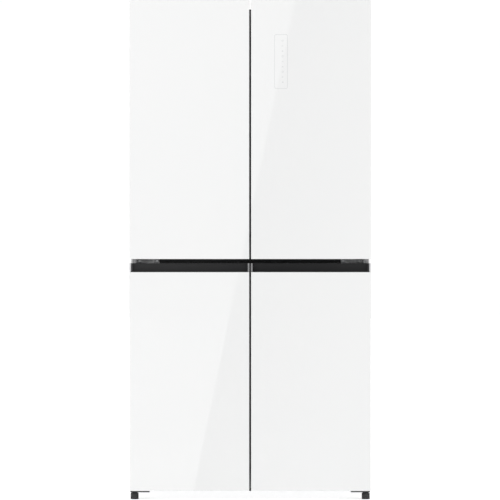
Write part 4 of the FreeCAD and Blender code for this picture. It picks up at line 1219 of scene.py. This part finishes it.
def studio():
    """Pale floor, even white surroundings and a large soft light."""
    seen_strength, diffuse_strength = 1.02, 0.573
    world = bpy.data.worlds.new("white_room")
    bpy.context.scene.world = world
    world.use_nodes = True
    tree = world.node_tree
    seen = tree.nodes["Background"]
    lighting = tree.nodes.new("ShaderNodeBackground")
    for background, strength in ((seen, seen_strength), (lighting, diffuse_strength)):
        background.inputs["Color"].default_value = (1, 1, 1, 1)
        background.inputs["Strength"].default_value = strength
    rays = tree.nodes.new("ShaderNodeLightPath")
    mix = tree.nodes.new("ShaderNodeMixShader")
    tree.links.new(rays.outputs["Is Diffuse Ray"], mix.inputs["Fac"])
    tree.links.new(seen.outputs["Background"], mix.inputs[1])
    tree.links.new(lighting.outputs["Background"], mix.inputs[2])
    tree.links.new(mix.outputs["Shader"], tree.nodes["World Output"].inputs["Surface"])

    bpy.ops.mesh.primitive_plane_add(size=80)
    floor = bpy.context.object
    floor.name = "floor"
    pale = Finish("floor_pale", (0.80, 0.80, 0.80), 0.8)
    pale.set("Emission Color", (1, 1, 1, 1))
    pale.set("Emission Strength", 0.72)
    pale.tinted(pale.noise(0.6, 3), 0.99)
    floor.data.materials.append(pale.material)

    light = bpy.data.lights.new("softbox", "AREA")
    light.shape = "RECTANGLE"
    light.size = 3.0
    light.size_y = 2.4
    light.energy = 40
    lamp = bpy.data.objects.new("softbox", light)
    bpy.context.scene.collection.objects.link(lamp)
    lamp.location = (-2.2, -4.2, 3.2)
    aim = Vector((0, 0, 0.9)) - lamp.location
    lamp.rotation_euler = aim.to_track_quat("-Z", "Y").to_euler()


def reflected_card():
    """Grey card that only reflections see: it draws the slanted edge in the glass.
    The edge's top and bottom are given on the glass, from the eye's level."""
    distance, far, beyond = 0.6, 3.0, 3.0
    eye_level = Vector((0, cad_high.z / 2))
    grow = (EYE_DISTANCE + distance) / EYE_DISTANCE
    top = eye_level + Vector((0.165, 0.915)) * grow
    bottom = eye_level + Vector((-0.208, -0.882)) * grow
    lean = (top - bottom).normalized()
    up = top + lean * beyond
    down = bottom - lean * beyond
    card = begin("reflected_card", "plane", size=1)
    place_corners(card, [(x, cad_low.y - distance, z)
                         for x, z in (down, (far, down.y), up, (far, up.y))])
    leave_edit_mode()
    grey = bpy.data.materials.new("card_grey")
    grey.use_nodes = True
    tree = grey.node_tree
    tree.nodes.remove(tree.nodes["Principled BSDF"])
    glow = tree.nodes.new("ShaderNodeEmission")
    place = tree.nodes.new("ShaderNodeTexCoord")
    away = tree.nodes.new("ShaderNodeVectorMath")
    away.operation = "DOT_PRODUCT"
    away.inputs[1].default_value = (lean.y, 0, -lean.x)
    fade = tree.nodes.new("ShaderNodeMapRange")
    start = top.x * lean.y - top.y * lean.x
    for socket, number in (("From Min", start), ("From Max", start + 0.5),
                           ("To Min", 0.0), ("To Max", 0.9)):
        fade.inputs[socket].default_value = number
    tree.links.new(place.outputs["Object"], away.inputs[0])
    tree.links.new(away.outputs["Value"], fade.inputs["Value"])
    tree.links.new(fade.outputs["Result"], glow.inputs["Strength"])
    tree.links.new(glow.outputs["Emission"], tree.nodes["Material Output"].inputs["Surface"])
    card.data.materials.append(grey)
    for unseen_by in ("camera", "diffuse", "shadow", "transmission", "volume_scatter"):
        setattr(card, f"visible_{unseen_by}", False)


def camera():
    """Long lens, level, straight at the doors, the object filling the height."""
    data = bpy.data.cameras.new("camera")
    data.sensor_width = SENSOR
    data.lens = SENSOR * EYE_DISTANCE / cad_high.z
    data.clip_end = 200
    data.shift_x = -0.0003
    eye = bpy.data.objects.new("camera", data)
    bpy.context.scene.collection.objects.link(eye)
    eye.location = (0, cad_low.y - EYE_DISTANCE, cad_high.z / 2)
    eye.rotation_euler = (math.pi / 2, 0, 0)
    bpy.context.scene.camera = eye


studio()
reflected_card()
camera()
bpy.context.scene.view_settings.view_transform = "Standard"
